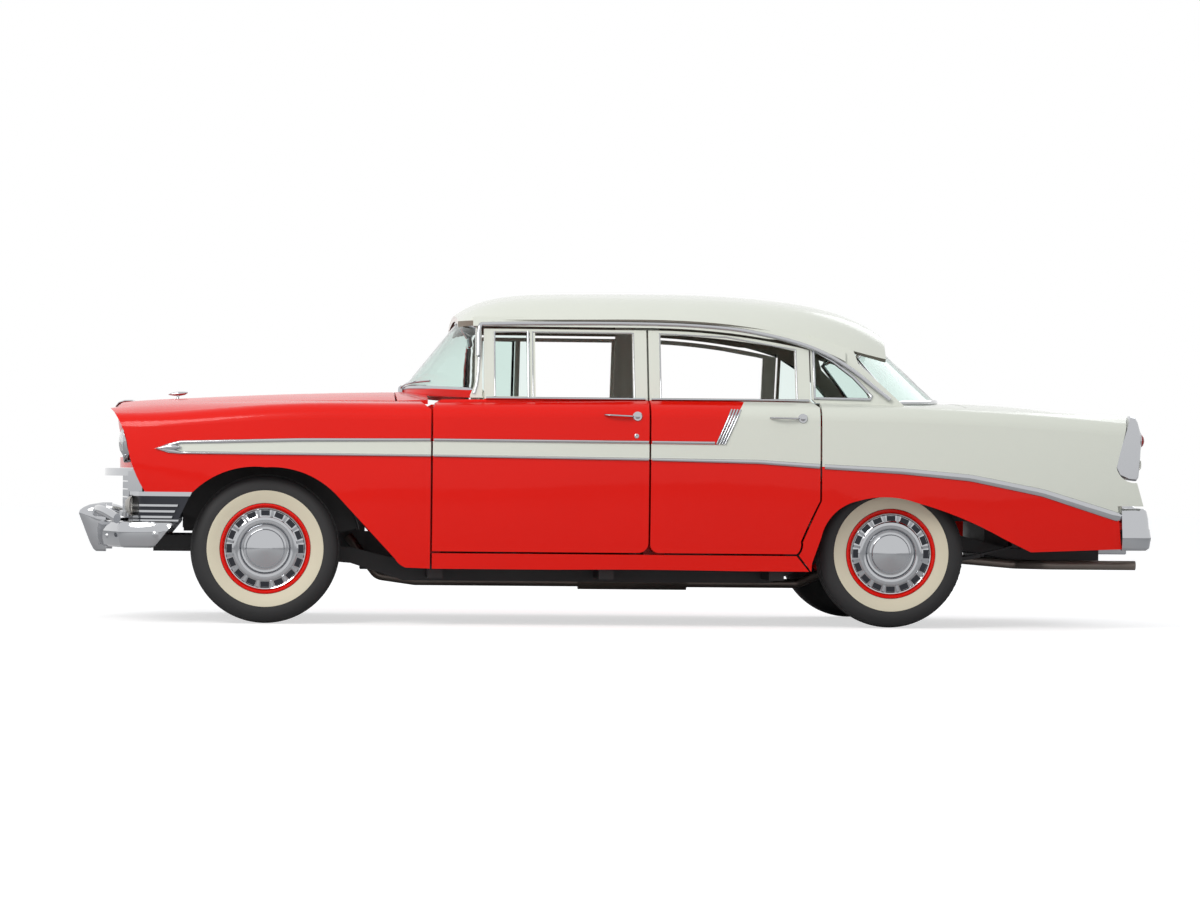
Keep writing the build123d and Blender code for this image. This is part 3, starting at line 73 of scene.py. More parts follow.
camera_data = bpy.data.cameras.new("camera")
camera_data.lens = LENS
camera_data.sensor_width = 36.0
camera_data.clip_end = 300.0
camera = bpy.data.objects.new("camera", camera_data)
turn = Matrix(camera_axes()).transposed()
camera.matrix_world = Matrix.Translation(EYE) @ turn.to_4x4()
bpy.context.scene.collection.objects.link(camera)
bpy.context.scene.camera = camera
print("camera at", tuple(EYE))

# %% [markdown]
# A studio for paint and chrome needs a pale surrounding, because polished metal shows only what stands
# round it. A photograph of a room could serve, but it would draw its own shapes into the paint. So the
# world is one plain colour: white where it is seen, also in a mirror or through glass, and dimmer where
# it only lights the car, so that the colours come out as they are written.

# %% World
SKY_COLOR = (0.95, 0.97, 1.0)
SKY_STRENGTH = 0.62
scene = bpy.context.scene
scene.view_settings.view_transform = "Standard"
world = bpy.data.worlds.new("studio")
scene.world = world
world.use_nodes = True
sky = world.node_tree
sky.nodes.clear()
seen = sky.nodes.new("ShaderNodeBackground")
seen.inputs["Color"].default_value = (1.0, 1.0, 1.0, 1)
glow = sky.nodes.new("ShaderNodeBackground")
glow.inputs["Color"].default_value = (*SKY_COLOR, 1)
glow.inputs["Strength"].default_value = SKY_STRENGTH
rays = sky.nodes.new("ShaderNodeLightPath")
is_seen = rays.outputs["Is Camera Ray"]
for kind in ("Is Glossy Ray", "Is Transmission Ray"):
    either = sky.nodes.new("ShaderNodeMath")
    either.operation = "MAXIMUM"
    sky.links.new(is_seen, either.inputs[0])
    sky.links.new(rays.outputs[kind], either.inputs[1])
    is_seen = either.outputs[0]
blend = sky.nodes.new("ShaderNodeMixShader")
out = sky.nodes.new("ShaderNodeOutputWorld")
sky.links.new(is_seen, blend.inputs[0])
sky.links.new(glow.outputs[0], blend.inputs[1])
sky.links.new(seen.outputs[0], blend.inputs[2])
sky.links.new(blend.outputs[0], out.inputs["Surface"])
print("world nodes:", len(sky.nodes))

# %% [markdown]
# Even light alone makes a body look flat. Two large round area lamps, one on the photo's side and a
# weaker one behind, give the curves a bright and a shaded side. Small lamps would be simpler to place,
# but they leave hard spots in the enamel.

# %% Lamps


def soft_lamp(name, place, size, power, color=(1.0, 0.98, 0.95)):
    """A round area lamp that looks at the car's middle; watts and metres."""
    data = bpy.data.lights.new(name, "AREA")
    data.shape = "DISK"
    data.size = size
    data.energy = power
    data.color = color
    lamp = bpy.data.objects.new(name, data)
    lamp.location = place
    lamp.rotation_euler = (-Vector(place)).to_track_quat("-Z", "Y").to_euler()
    scene.collection.objects.link(lamp)


soft_lamp("key", (6.0, 9.0, 8.5), 6.0, 760.0)
soft_lamp("fill", (-7.0, -8.0, 7.0), 8.0, 300.0, SKY_COLOR)
print("lamps:", [lamp.name for lamp in bpy.data.lights])

# %% [markdown]
# The floor is one wide disk, just under the tyres. It takes the car's shadow, which is what makes the
# car stand. A white floor would need so much light that the paint washes out, so the floor is grey and
# gives off a little light of its own, but only to the camera. The world's edge then stays unseen.

# %% Floor
FLOOR_RADIUS = 60.0
FLOOR_DROP = 0.002
FLOOR_GREY = 0.58
FLOOR_LIFT = 0.62
below = (0, 0, -FLOOR_DROP)
bpy.ops.mesh.primitive_circle_add(vertices=96, radius=FLOOR_RADIUS, fill_type="NGON", location=below)
floor = bpy.context.object
floor.name = "studio_floor"
ground = bpy.data.materials.new("studio_floor")
ground.use_nodes = True
matt = ground.node_tree.nodes["Principled BSDF"]
matt.inputs["Base Color"].default_value = (FLOOR_GREY, FLOOR_GREY, FLOOR_GREY, 1)
matt.inputs["Roughness"].default_value = 0.9
matt.inputs["Specular IOR Level"].default_value = 0.1
matt.inputs["Emission Color"].default_value = (1, 1, 1, 1)
seen_by = ground.node_tree.nodes.new("ShaderNodeLightPath")
lift = ground.node_tree.nodes.new("ShaderNodeMath")
lift.operation = "MULTIPLY"
lift.inputs[1].default_value = FLOOR_LIFT
ground.node_tree.links.new(seen_by.outputs["Is Camera Ray"], lift.inputs[0])
ground.node_tree.links.new(lift.outputs[0], matt.inputs["Emission Strength"])
floor.data.materials.append(ground)
print("floor radius:", FLOOR_RADIUS)

# %% [markdown]
# A finish is more than a colour. Real enamel, rubber and cast iron vary a little from place to place,
# and image textures could show that, but they need unwrapping. Here each finish mixes two shades with a
# slow noise, varies its gloss, and has a fine grain as bump. All of it reads object coordinates, so a
# pattern stays on its panel when the panel moves.

# %% How a finish is made
ENAMEL_COAT = 0.25


def from_srgb(*levels):
    return tuple((v / 255 / 12.92 if v <= 10 else ((v / 255 + 0.055) / 1.055) ** 2.4) for v in levels)


def finish(name, color, rough, metal=0.0, coat=0.0, shades=0.06, cloud=3.0, grain=0.02, grain_size=900.0,
           spread=0.05, stretch=(1, 1, 1)):
    """A material with mottled colour, uneven gloss and a fine grain as bump."""
    made = bpy.data.materials.new(name)
    made.use_nodes = True
    tree = made.node_tree
    shader = tree.nodes["Principled BSDF"]
    shader.inputs["Metallic"].default_value = metal
    shader.inputs["Coat Weight"].default_value = coat
    shader.inputs["Specular IOR Level"].default_value = 0.12 if coat else 0.5
    shader.inputs["Coat Roughness"].default_value = 0.04
    place = tree.nodes.new("ShaderNodeTexCoord")
    scaled = tree.nodes.new("ShaderNodeMapping")
    scaled.inputs["Scale"].default_value = stretch
    slow = tree.nodes.new("ShaderNodeTexNoise")
    slow.inputs["Scale"].default_value = cloud
    slow.inputs["Detail"].default_value = 4.0
    fine = tree.nodes.new("ShaderNodeTexNoise")
    fine.inputs["Scale"].default_value = grain_size
    mix = tree.nodes.new("ShaderNodeMix")
    mix.data_type = "RGBA"
    mix.inputs[6].default_value = (*[c * (1 - shades) for c in color], 1)
    mix.inputs[7].default_value = (*[min(1.0, c * (1 + shades)) for c in color], 1)
    gloss = tree.nodes.new("ShaderNodeMapRange")
    gloss.inputs["To Min"].default_value = max(0.01, rough - spread)
    gloss.inputs["To Max"].default_value = rough + spread
    bump = tree.nodes.new("ShaderNodeBump")
    bump.inputs["Strength"].default_value = grain
    bump.inputs["Distance"].default_value = 0.001
    link = tree.links.new
    link(place.outputs["Object"], scaled.inputs["Vector"])
    link(scaled.outputs["Vector"], slow.inputs["Vector"])
    link(scaled.outputs["Vector"], fine.inputs["Vector"])
    link(slow.outputs["Fac"], mix.inputs[0])
    link(slow.outputs["Fac"], gloss.inputs["Value"])
    link(gloss.outputs["Result"], shader.inputs["Roughness"])
    link(mix.outputs[2], shader.inputs["Base Color"])
    link(fine.outputs["Fac"], bump.inputs["Height"])
    link(bump.outputs["Normal"], shader.inputs["Normal"])
    return made


print("a finish takes a name, a colour and a roughness")

# %% [markdown]
# These are the plain finishes: enamel with a thin clear coat, chrome, bare and painted metal, rubber and
# vinyl. Chrome is written darker than it looks, because in a white room it has only white to show, and
# pure white metal would vanish against the floor.

# %% Plain finishes
RED = from_srgb(230, 20, 6)
IVORY = from_srgb(224, 227, 216)
red_paint = finish("gloss_red_enamel", RED, 0.24, coat=ENAMEL_COAT, shades=0.03, grain=0.012, spread=0.03)
ivory_paint = finish("gloss_ivory_enamel", IVORY, 0.26, coat=ENAMEL_COAT, shades=0.02, grain=0.012,
                     spread=0.03)
chrome = finish("polished_chrome", (0.50, 0.51, 0.53), 0.07, metal=1.0, shades=0.04, grain=0.006, spread=0.03)
# Near-black chrome paints shade: it fills the wheel-cover slots and the parking lamps' recess, where a real
# car shows only shade.
painted_shade_chrome = finish("chrome_with_painted_shade", (0.045, 0.047, 0.055), 0.3, metal=1.0, shades=0.15, spread=0.05)
black_paint = finish("satin_chassis_black", (0.018, 0.018, 0.02), 0.45, shades=0.4, grain=0.1, spread=0.15)
cast_iron = finish("painted_cast_iron", (0.10, 0.105, 0.11), 0.55, metal=0.3, shades=0.3, grain=0.3,
                   grain_size=350.0)
pipe_steel = finish("heat_dulled_steel", (0.22, 0.19, 0.17), 0.42, metal=0.8, shades=0.35, grain=0.15)
rubber = finish("black_rubber", (0.022, 0.022, 0.023), 0.7, shades=0.25, grain=0.15, grain_size=500.0)
vinyl_red = finish("red_vinyl", from_srgb(150, 22, 18), 0.42, shades=0.12, grain=0.35, grain_size=420.0)
vinyl_ivory = finish("ivory_vinyl", from_srgb(205, 200, 186), 0.45, shades=0.08, grain=0.35, grain_size=420.0)
dark_trim = finish("dark_interior_trim", (0.03, 0.028, 0.028), 0.6, shades=0.3, grain=0.2, grain_size=500.0)
alloy = finish("brushed_alloy", (0.42, 0.42, 0.41), 0.33, metal=1.0, shades=0.12, stretch=(1, 30, 1))
dial_face = finish("dial_face", (0.05, 0.055, 0.06), 0.3, shades=0.2)
print("plain finishes:", len(bpy.data.materials))

# %% [markdown]
# Windows and lamp lenses let light through and bend it. A see-through flat colour would be quicker to
# render, but it has no edge and no depth. The windows are tinted slightly green, as those of the time
# were, and bend little, since both faces of a sheet are there. A clear lens is a bit rough, because the
# pattern pressed into it scatters the light.

# %% Glass


def glass_finish(name, color, rough, ior=1.48, weight=1.0):
    made = finish(name, color, rough, shades=0.02, grain=0.0, spread=0.01)
    shader = made.node_tree.nodes["Principled BSDF"]
    shader.inputs["Transmission Weight"].default_value = weight
    shader.inputs["IOR"].default_value = ior
    return made


window_glass = glass_finish("tinted_window_glass", (0.80, 0.89, 0.86), 0.02, 1.1)
clear_lens = glass_finish("fluted_clear_lens", (0.93, 0.95, 0.95), 0.08)
red_lens = glass_finish("ruby_lens", (0.62, 0.012, 0.012), 0.10, weight=0.55)
pale_lens = glass_finish("clear_parking_lens", (0.90, 0.88, 0.82), 0.12, weight=0.6)
print("glass:", window_glass.name, clear_lens.name, red_lens.name)

# %% [markdown]
# The body has two colours that meet under the mouldings. Painting each panel by its own faces would
# leave steps at the door gaps, so one material asks where a point is. Two curves give the height of the
# mouldings along the car, a slanted line gives the end of the red on the rear door, and above the belt
# all is ivory. Faces that look into the car stay red, as the masks of a paint shop leave them.

# %% Two-tone paint
X_REAR, X_FRONT = -2.56, 2.36
LOWER_LINE = [
    (-2.56, 0.47), (-2.352, 0.522), (-2.293, 0.540), (-1.968, 0.639), (-1.628, 0.705), (-1.313, 0.733),
    (-0.924, 0.752), (-0.639, 0.770), (-0.126, 0.777), (0.890, 0.7845), (2.045, 0.788), (2.154, 0.806),
]
UPPER_LINE = [(-0.432, 0.848), (0.890, 0.852), (1.500, 0.848), (2.045, 0.836), (2.154, 0.806)]
DIAGONAL_FOOT = (-0.434, 0.834)
DIAGONAL_SLOPE = 0.632
BELT_HEIGHT = 1.0535
INWARD_LIMIT = 0.3


def math_node(tree, operation, first, second=None):
    """A sum on sockets or plain numbers; gives the socket with its result."""
    made = tree.nodes.new("ShaderNodeMath")
    made.operation = operation
    for socket, value in zip(made.inputs, (first, second)):
        if isinstance(value, (int, float)):
            socket.default_value = value
        elif value is not None:
            tree.links.new(value, socket)
    return made.outputs[0]


def axes_of(tree, kind):
    """X, Y and Z of an own coordinate: Object for the place, Normal for the way a face looks."""
    source = tree.nodes.new("ShaderNodeTexCoord")
    split = tree.nodes.new("ShaderNodeSeparateXYZ")
    tree.links.new(source.outputs[kind], split.inputs[0])
    return [split.outputs[axis] for axis in "XYZ"]


def recolor(made, mask, color):
    """Lays a second colour over a finish where the mask is one."""
    tree = made.node_tree
    target = tree.nodes["Principled BSDF"].inputs["Base Color"]
    both = tree.nodes.new("ShaderNodeMix")
    both.data_type = "RGBA"
    both.inputs[7].default_value = (*color, 1)
    tree.links.new(mask, both.inputs[0])
    tree.links.new(target.links[0].from_socket, both.inputs[6])
    tree.links.new(both.outputs[2], target)


def height_curve(tree, share, line):
    """A height that follows a side-view line while the share runs from 0 at the tail to 1 at the nose."""
    made = tree.nodes.new("ShaderNodeFloatCurve")
    tree.links.new(share, made.inputs["Value"])
    curve = made.mapping.curves[0]
    spots = [((x - X_REAR) / (X_FRONT - X_REAR), z) for x, z in line]
    if spots[0][0] > 0:
        spots.insert(0, (0.0, spots[0][1]))
    if spots[-1][0] < 1:
        spots.append((1.0, spots[-1][1]))
    curve.points[0].location = spots[0]
    curve.points[1].location = spots[-1]
    for spot in spots[1:-1]:
        curve.points.new(*spot)
    for point in curve.points:
        point.handle_type = "VECTOR"
    made.mapping.update()
    return made.outputs[0]


def two_tone():
    made = finish("two_tone_enamel", RED, 0.24, coat=ENAMEL_COAT, shades=0.03, grain=0.012, spread=0.03)
    tree = made.node_tree
    x, y, z = axes_of(tree, "Object")
    looks_y = axes_of(tree, "Normal")[1]
    share = math_node(tree, "DIVIDE", math_node(tree, "SUBTRACT", x, X_REAR), X_FRONT - X_REAR)
    above_lower = math_node(tree, "GREATER_THAN", z, height_curve(tree, share, LOWER_LINE))
    under_upper = math_node(tree, "LESS_THAN", z, height_curve(tree, share, UPPER_LINE))
    lean = math_node(tree, "MULTIPLY", math_node(tree, "SUBTRACT", z, DIAGONAL_FOOT[1]), DIAGONAL_SLOPE)
    behind = math_node(tree, "LESS_THAN", math_node(tree, "ADD", x, lean), DIAGONAL_FOOT[0])
    ivory = math_node(tree, "MULTIPLY", above_lower, math_node(tree, "MAXIMUM", under_upper, behind))
    ivory = math_node(tree, "MAXIMUM", ivory, math_node(tree, "GREATER_THAN", z, BELT_HEIGHT))
    looks_in = math_node(tree, "LESS_THAN", math_node(tree, "MULTIPLY", looks_y, y), -INWARD_LIMIT)
    inside = math_node(tree, "MULTIPLY", looks_in, math_node(tree, "LESS_THAN", z, BELT_HEIGHT))
    recolor(made, math_node(tree, "MULTIPLY", ivory, math_node(tree, "SUBTRACT", 1.0, inside)), IVORY)
    return made


two_tone_paint = two_tone()
print("two-tone paint has", len(two_tone_paint.node_tree.nodes), "nodes")

# %% [markdown]
# The roof panel is ivory outside and lined with pale cloth inside, and the floor is black below with
# carpet on top. Each could be two pieces, but a sheet that thin would flicker where they touch. The
# material tells the two sides apart by the way a face looks.

# %% Panels with two faces


def faced(name, outer_color, inner_color, outer_rough, inner_rough, limit):
    """A finish whose faces turn to the inner colour where they look further down than the limit."""
    made = finish(name, outer_color, outer_rough, shades=0.04, grain=0.03)
    tree = made.node_tree
    shader = tree.nodes["Principled BSDF"]
    looks = tree.nodes.new("ShaderNodeNewGeometry")
    split = tree.nodes.new("ShaderNodeSeparateXYZ")
    tree.links.new(looks.outputs["True Normal"], split.inputs[0])
    inside = math_node(tree, "LESS_THAN", split.outputs["Z"], limit)
    recolor(made, inside, inner_color)
    gloss = tree.nodes.new("ShaderNodeMapRange")
    gloss.inputs["To Min"].default_value = outer_rough
    gloss.inputs["To Max"].default_value = inner_rough
    tree.links.new(inside, gloss.inputs["Value"])
    tree.links.new(gloss.outputs["Result"], shader.inputs["Roughness"])
    shader.inputs["Coat Weight"].default_value = ENAMEL_COAT
    return made


roof_paint = faced("ivory_roof_and_lining", IVORY, from_srgb(150, 146, 134), 0.26, 0.9, -0.08)
floor_finish = faced("carpet_over_black_floor", (0.05, 0.018, 0.016), (0.015, 0.015, 0.016), 0.95, 0.5, 0.5)
print("faced panels:", roof_paint.name, floor_finish.name)

# %% [markdown]
# Every CAD node gets its finish here, by its name. A long list of single lines would do, but nodes of one
# kind share the start of their name, so a short table of beginnings covers doors, glass and wheels.

# %% Finish of every CAD node
NODE_FINISH = {
    "hood": red_paint, "firewall": red_paint, "dashboard": red_paint,
    "trunk_lid": ivory_paint, "roof": roof_paint, "floor_pan": floor_finish,
    "front_fenders": two_tone_paint, "rear_body": two_tone_paint, "side_frames": two_tone_paint,
    "windshield": window_glass, "rear_window": window_glass, "quarter_windows": window_glass,
    "chassis_frame": black_paint, "inner_fenders": black_paint, "radiator": black_paint,
    "fuel_tank": black_paint, "rear_axle": black_paint, "leaf_springs": black_paint,
    "front_suspension": black_paint, "door_hinges": black_paint,
    "grille": chrome, "engine": cast_iron, "exhaust": pipe_steel, "steering_wheel": vinyl_ivory,
    "front_seat": vinyl_red, "rear_seat": vinyl_red,
}
FINISH_BY_START = {
    "door_": two_tone_paint, "vent_window": window_glass, "knuckle": cast_iron, "wheel_": red_paint,
}


def finish_for(name):
    for start, made in FINISH_BY_START.items():
        if name.startswith(start):
            return NODE_FINISH.get(name, made)
    return NODE_FINISH.get(name, chrome)


for name, node in nodes.items():
    if not node.material_slots:
        node.data.materials.append(chrome)
    for socket in node.material_slots:
        socket.material = finish_for(name)
print("finishes given to", len(nodes), "CAD nodes")

# %% [markdown]
# Most pieces below are plain lists of points and faces. Modelling them by hand in the viewport would be
# as good, but a list can be measured and changed. A few helpers make the lists: a section swept along a
# line, a lathe, and a stack of outlines. A piece on the left side is mirrored to the right, and there its
# faces are turned round again, so that they still point outwards.

# %% From points to a piece


def mesh_of(name, verts, faces, crease=35.0):
    """A smooth mesh whose edges stay sharp above the crease angle in degrees."""
    mesh = bpy.data.meshes.new(name)
    mesh.from_pydata([tuple(v) for v in verts], [], faces)
    work = bmesh.new()
    work.from_mesh(mesh)
    bmesh.ops.remove_doubles(work, verts=work.verts, dist=1e-6)
    bmesh.ops.recalc_face_normals(work, faces=work.faces)
    work.to_mesh(mesh)
    work.free()
    smooth(mesh, crease)
    return mesh


def smooth(mesh, crease):
    mesh.polygons.foreach_set("use_smooth", [True] * len(mesh.polygons))
    mesh.set_sharp_from_angle(angle=math.radians(crease))
    mesh.update()


def piece(name, body, mesh, paint):
    """A mesh in its finish, riding on a body of the frame."""
    mesh.materials.clear()
    mesh.materials.append(paint)
    made = bpy.data.objects.new(name, mesh)
    scene.collection.objects.link(made)
    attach(made, body)
    return made


print("materials so far:", len(bpy.data.materials))

# %% Merge, mirror and move


def merged(*shapes):
    verts, faces = [], []
    for more_verts, more_faces in shapes:
        start = len(verts)
        verts += [Vector(v) for v in more_verts]
        faces += [[start + i for i in f] for f in more_faces]
    return verts, faces


def mirrored(shape):
    verts, faces = shape
    return [Vector((v[0], -v[1], v[2])) for v in verts], [list(reversed(f)) for f in faces]


def both_sides(shape):
    return merged(shape, mirrored(shape))


def moved(shape, matrix):
    return [matrix @ Vector(v) for v in shape[0]], shape[1]


def add_piece(name, body, shape, paint, crease=35.0):
    return piece(name, body, mesh_of(name, *shape, crease), paint)


def add_pair(name, body, shape, paint):
    """A left piece and its mirror image: one joined piece on the fixed body, or one on each side's body."""
    if body == "body":
        return [add_piece(name, body, both_sides(shape), paint)]
    return [
        add_piece(f"{name}_left", body, shape, paint),
        add_piece(f"{name}_right", body.replace("left", "right"), mirrored(shape), paint),
    ]


print("a shape is a list of points and a list of faces")

# %% Faces over rings and sweeps


def rings_joined(rings, closed_path=False):
    """Faces between rows of points that each go round a section."""
    count = len(rings[0])
    verts = [p for ring in rings for p in ring]
    faces = []
    last = len(rings) if closed_path else len(rings) - 1
    for i in range(last):
        a, b = i * count, ((i + 1) % len(rings)) * count
        for k in range(count):
            n = (k + 1) % count
            faces.append([a + k, a + n, b + n, b + k])
    if not closed_path:
        faces.append(list(range(count)))
        faces.append([len(verts) - count + k for k in reversed(range(count))])
    return verts, faces


def swept(points, section, up, closed=False):
    """A section of (side, up) offsets carried along a line; up is a vector or gives one for each index."""
    rings = []
    count = len(points)
    for i, p in enumerate(points):
        before = points[i - 1] if (closed or i > 0) else points[i]
        after = points[(i + 1) % count] if (closed or i < count - 1) else points[i]
        along = (after - before).normalized()
        rise = Vector(up(i) if callable(up) else up)
        side = along.cross(rise).normalized()
        rise = side.cross(along).normalized()
        offsets = section(i) if callable(section) else section
        rings.append([p + side * s + rise * u for s, u in offsets])
    return rings_joined(rings, closed_path=closed)


def round_section(radius, flat=1.0, sides=12):
    return [
        (radius * math.cos(2 * math.pi * k / sides), radius * flat * math.sin(2 * math.pi * k / sides))
        for k in range(sides)
    ]


print("a section of", len(round_section(0.01)), "points is carried along a line")

# %% [markdown]
# Wheel slots, tyre tread, grille bars and radiator fins repeat one small block. Array modifiers could do
# it, one for each use, but two Geometry Nodes trees serve the whole car: one sets blocks round a circle and
# one sets them along a line. Their sizes are named inputs, and the result becomes a plain mesh.

# %% Node trees that repeat a block


def new_tree(name, sockets):
    tree = bpy.data.node_groups.new(name, "GeometryNodeTree")
    for label, kind, value in sockets:
        made = tree.interface.new_socket(name=label, in_out="INPUT", socket_type=kind)
        made.default_value = value
    tree.interface.new_socket(name="Geometry", in_out="OUTPUT", socket_type="NodeSocketGeometry")
    return tree, tree.nodes.new("NodeGroupInput"), tree.nodes.new("NodeGroupOutput")


def block_on(tree, entry, points, out, turned=None):
    """Puts the block of the tree's inputs on points, realised and with a material."""
    block = tree.nodes.new("GeometryNodeMeshCube")
    tree.links.new(entry.outputs["Block"], block.inputs["Size"])
    placed = tree.nodes.new("GeometryNodeInstanceOnPoints")
    tree.links.new(points, placed.inputs["Points"])
    tree.links.new(block.outputs["Mesh"], placed.inputs["Instance"])
    if turned is not None:
        tree.links.new(turned, placed.inputs["Rotation"])
    real = tree.nodes.new("GeometryNodeRealizeInstances")
    painted = tree.nodes.new("GeometryNodeSetMaterial")
    painted.inputs["Material"].default_value = chrome
    tree.links.new(placed.outputs["Instances"], real.inputs["Geometry"])
    tree.links.new(real.outputs["Geometry"], painted.inputs["Geometry"])
    tree.links.new(painted.outputs["Geometry"], out.inputs["Geometry"])


print("two helpers build a tree")

# %% Blocks round a circle
ring_tree, entry, out = new_tree("blocks_round_a_circle", [
    ("Count", "NodeSocketInt", 16),
    ("Radius", "NodeSocketFloat", 0.17),
    ("Block", "NodeSocketVector", (0.02, 0.01, 0.01)),
])
circle = ring_tree.nodes.new("GeometryNodeMeshCircle")
ring_tree.links.new(entry.outputs["Count"], circle.inputs["Vertices"])
ring_tree.links.new(entry.outputs["Radius"], circle.inputs["Radius"])
spot = ring_tree.nodes.new("GeometryNodeInputPosition")
aim = ring_tree.nodes.new("FunctionNodeAlignRotationToVector")
aim.axis = "X"
ring_tree.links.new(spot.outputs[0], aim.inputs["Vector"])
block_on(ring_tree, entry, circle.outputs["Mesh"], out, aim.outputs[0])
print("ring tree nodes:", len(ring_tree.nodes))

# %% Blocks along a line
row_tree, entry, out = new_tree("blocks_along_a_line", [
    ("Count", "NodeSocketInt", 10),
    ("Start", "NodeSocketVector", (0, 0, 0)),
    ("Step", "NodeSocketVector", (0.01, 0, 0)),
    ("Block", "NodeSocketVector", (0.02, 0.01, 0.01)),
])
line = row_tree.nodes.new("GeometryNodeMeshLine")
row_tree.links.new(entry.outputs["Count"], line.inputs["Count"])
row_tree.links.new(entry.outputs["Start"], line.inputs["Start Location"])
row_tree.links.new(entry.outputs["Step"], line.inputs["Offset"])
block_on(row_tree, entry, line.outputs["Mesh"], out)
print("row tree nodes:", len(row_tree.nodes))

# %% A tree as a plain mesh


def repeated(tree, **values):
    """The tree's mesh for these inputs, as points and faces."""
    host = bpy.data.objects.new("host", bpy.data.meshes.new("host"))
    scene.collection.objects.link(host)
    modifier = host.modifiers.new("repeat", "NODES")
    modifier.node_group = tree
    for item in tree.interface.items_tree:
        if item.item_type == "SOCKET" and item.in_out == "INPUT" and item.name in values:
            modifier[item.identifier] = values[item.name]
    bpy.context.view_layer.update()
    evaluated = host.evaluated_get(bpy.context.evaluated_depsgraph_get())
    mesh = bpy.data.meshes.new_from_object(evaluated)
    shape = [v.co.copy() for v in mesh.vertices], [list(p.vertices) for p in mesh.polygons]
    host.modifiers.remove(modifier)
    bpy.data.objects.remove(host)
    return shape


print("blocks in a ring of 16:", len(repeated(ring_tree, Count=16)[1]), "faces")

# %% [markdown]
# Bright mouldings cover the line where the colours meet. A shrinkwrap modifier could lay them on the body,
# but it pulls their ends round the panel's edge. So their points are found by shooting rays at the panel
# from the side. Each strip is cut at the door gaps, because a door takes its part along.

# %% Lines on the skin
PANELS = {"front_fenders": "body", "door_front_left": "front_left_door",
          "door_rear_left": "rear_left_door", "rear_body": "body"}


def tree_of(*names):
    verts, faces = [], []
    for name in names:
        mesh = nodes[name].data
        start = len(verts)
        verts += [v.co.copy() for v in mesh.vertices]
        faces += [[start + i for i in p.vertices] for p in mesh.polygons]
    return BVHTree.FromPolygons(verts, faces)


skins = {name: tree_of(name) for name in PANELS}


def skin_point(panel, x, z):
    """Where a level ray from the left meets a panel, and the way the panel faces there."""
    hit, normal, _, _ = skins[panel].ray_cast(Vector((x, 1.3, z)), Vector((0, -1, 0)))
    if hit is None or hit.y < 0.4:
        return None
    return hit, normal if normal.y > 0 else -normal


print("panels with a skin:", list(skins))

# %% A strip along a side-view line


def height_at(line, x):
    for (x0, z0), (x1, z1) in zip(line, line[1:]):
        if min(x0, x1) <= x <= max(x0, x1):
            return z0 + (z1 - z0) * (x - x0) / (x1 - x0)
    return line[0][1] if abs(x - line[0][0]) < abs(x - line[-1][0]) else line[-1][1]


def spaced(points, step):
    """Points at even distances along a line of runs."""
    points = [Vector(p) for p in points]
    lengths = [(b - a).length for a, b in zip(points, points[1:])]
    total = sum(lengths)
    count = max(2, round(total / step) + 1)
    found = []
    for i in range(count):
        want = total * i / (count - 1)
        k = 0
        while k < len(lengths) - 1 and want > lengths[k]:
            want -= lengths[k]
            k += 1
        found.append(points[k].lerp(points[k + 1], min(1.0, want / max(lengths[k], 1e-9))))
    return found


def strip_shape(panel, spots, half_width, height, arch=7):
    """A half-round bar on a panel through side-view spots (x, z)."""
    points, normals, places = [], [], []
    for spot in spaced([(x, 0, z) for x, z in spots], 0.028):
        found = skin_point(panel, spot.x, spot.z)
        if found:
            points.append(found[0])
            normals.append(found[1])
            places.append(spot.x)
    if len(points) < 2:
        return [], []
    wide = [half_width(x) if callable(half_width) else half_width for x in places]

    def section(i):
        angles = [math.pi * k / (arch - 1) for k in range(arch)]
        outer = [(wide[i] * math.cos(a), height * math.sin(a)) for a in angles]
        return outer + [(-wide[i], -0.003), (wide[i], -0.003)]

    return swept(points, section, lambda i: normals[i])


print("a strip is half round and lies on the skin")

# %% One strip for each panel
EDGE_MARGIN = 0.003


def panel_range(panel):
    low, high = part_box(panel)
    return low.x + EDGE_MARGIN, high.x - EDGE_MARGIN


def add_skin_line(name, line, half_width, height):
    """One strip on every panel that a side-view line crosses."""
    made = 0
    for panel, body in PANELS.items():
        low, high = panel_range(panel)
        low, high = max(low, min(x for x, _ in line)), min(high, max(x for x, _ in line))
        if high - low < 0.02:
            continue
        inside = [(x, z) for x, z in line if low < x < high]
        spots = [(low, height_at(line, low)), *sorted(inside), (high, height_at(line, high))]
        shape = strip_shape(panel, spots, half_width, height)
        if shape[0]:
            add_pair(f"{name}_{panel.replace('_left', '')}", body, shape, chrome)
            made += 1
    return made


def widening(pairs):
    return lambda x: height_at(pairs, x)


print("panels cut with a margin of", EDGE_MARGIN, "m")

# %% Side mouldings
lower_width = widening([
    (-2.293, 0.0215), (-1.968, 0.019), (-1.629, 0.017), (-0.639, 0.0105), (-0.126, 0.0075),
    (0.890, 0.006), (2.045, 0.007), (2.10, 0.013), (2.154, 0.003),
])
upper_width = widening([
    (-0.432, 0.0075), (0.890, 0.0075), (1.5, 0.009), (2.045, 0.0085), (2.10, 0.009), (2.154, 0.003),
])
MOULDING_LOW = [(x, z) for x, z in LOWER_LINE if x > -2.36]
MOULDING_HIGH = [(-0.428, 0.857), (0.890, 0.8585), (1.500, 0.852), (2.045, 0.836), (2.154, 0.806)]
count = add_skin_line("lower_moulding", MOULDING_LOW, lower_width, 0.009)
count += add_skin_line("upper_moulding", MOULDING_HIGH, upper_width, 0.009)
tip = strip_shape("front_fenders", [(2.04, 0.8125), (2.10, 0.812), (2.156, 0.806)],
                  widening([(2.04, 0.004), (2.075, 0.016), (2.10, 0.016), (2.156, 0.002)]), 0.014)
add_pair("moulding_tip", "body", tip, chrome)
print("moulding strips:", count)

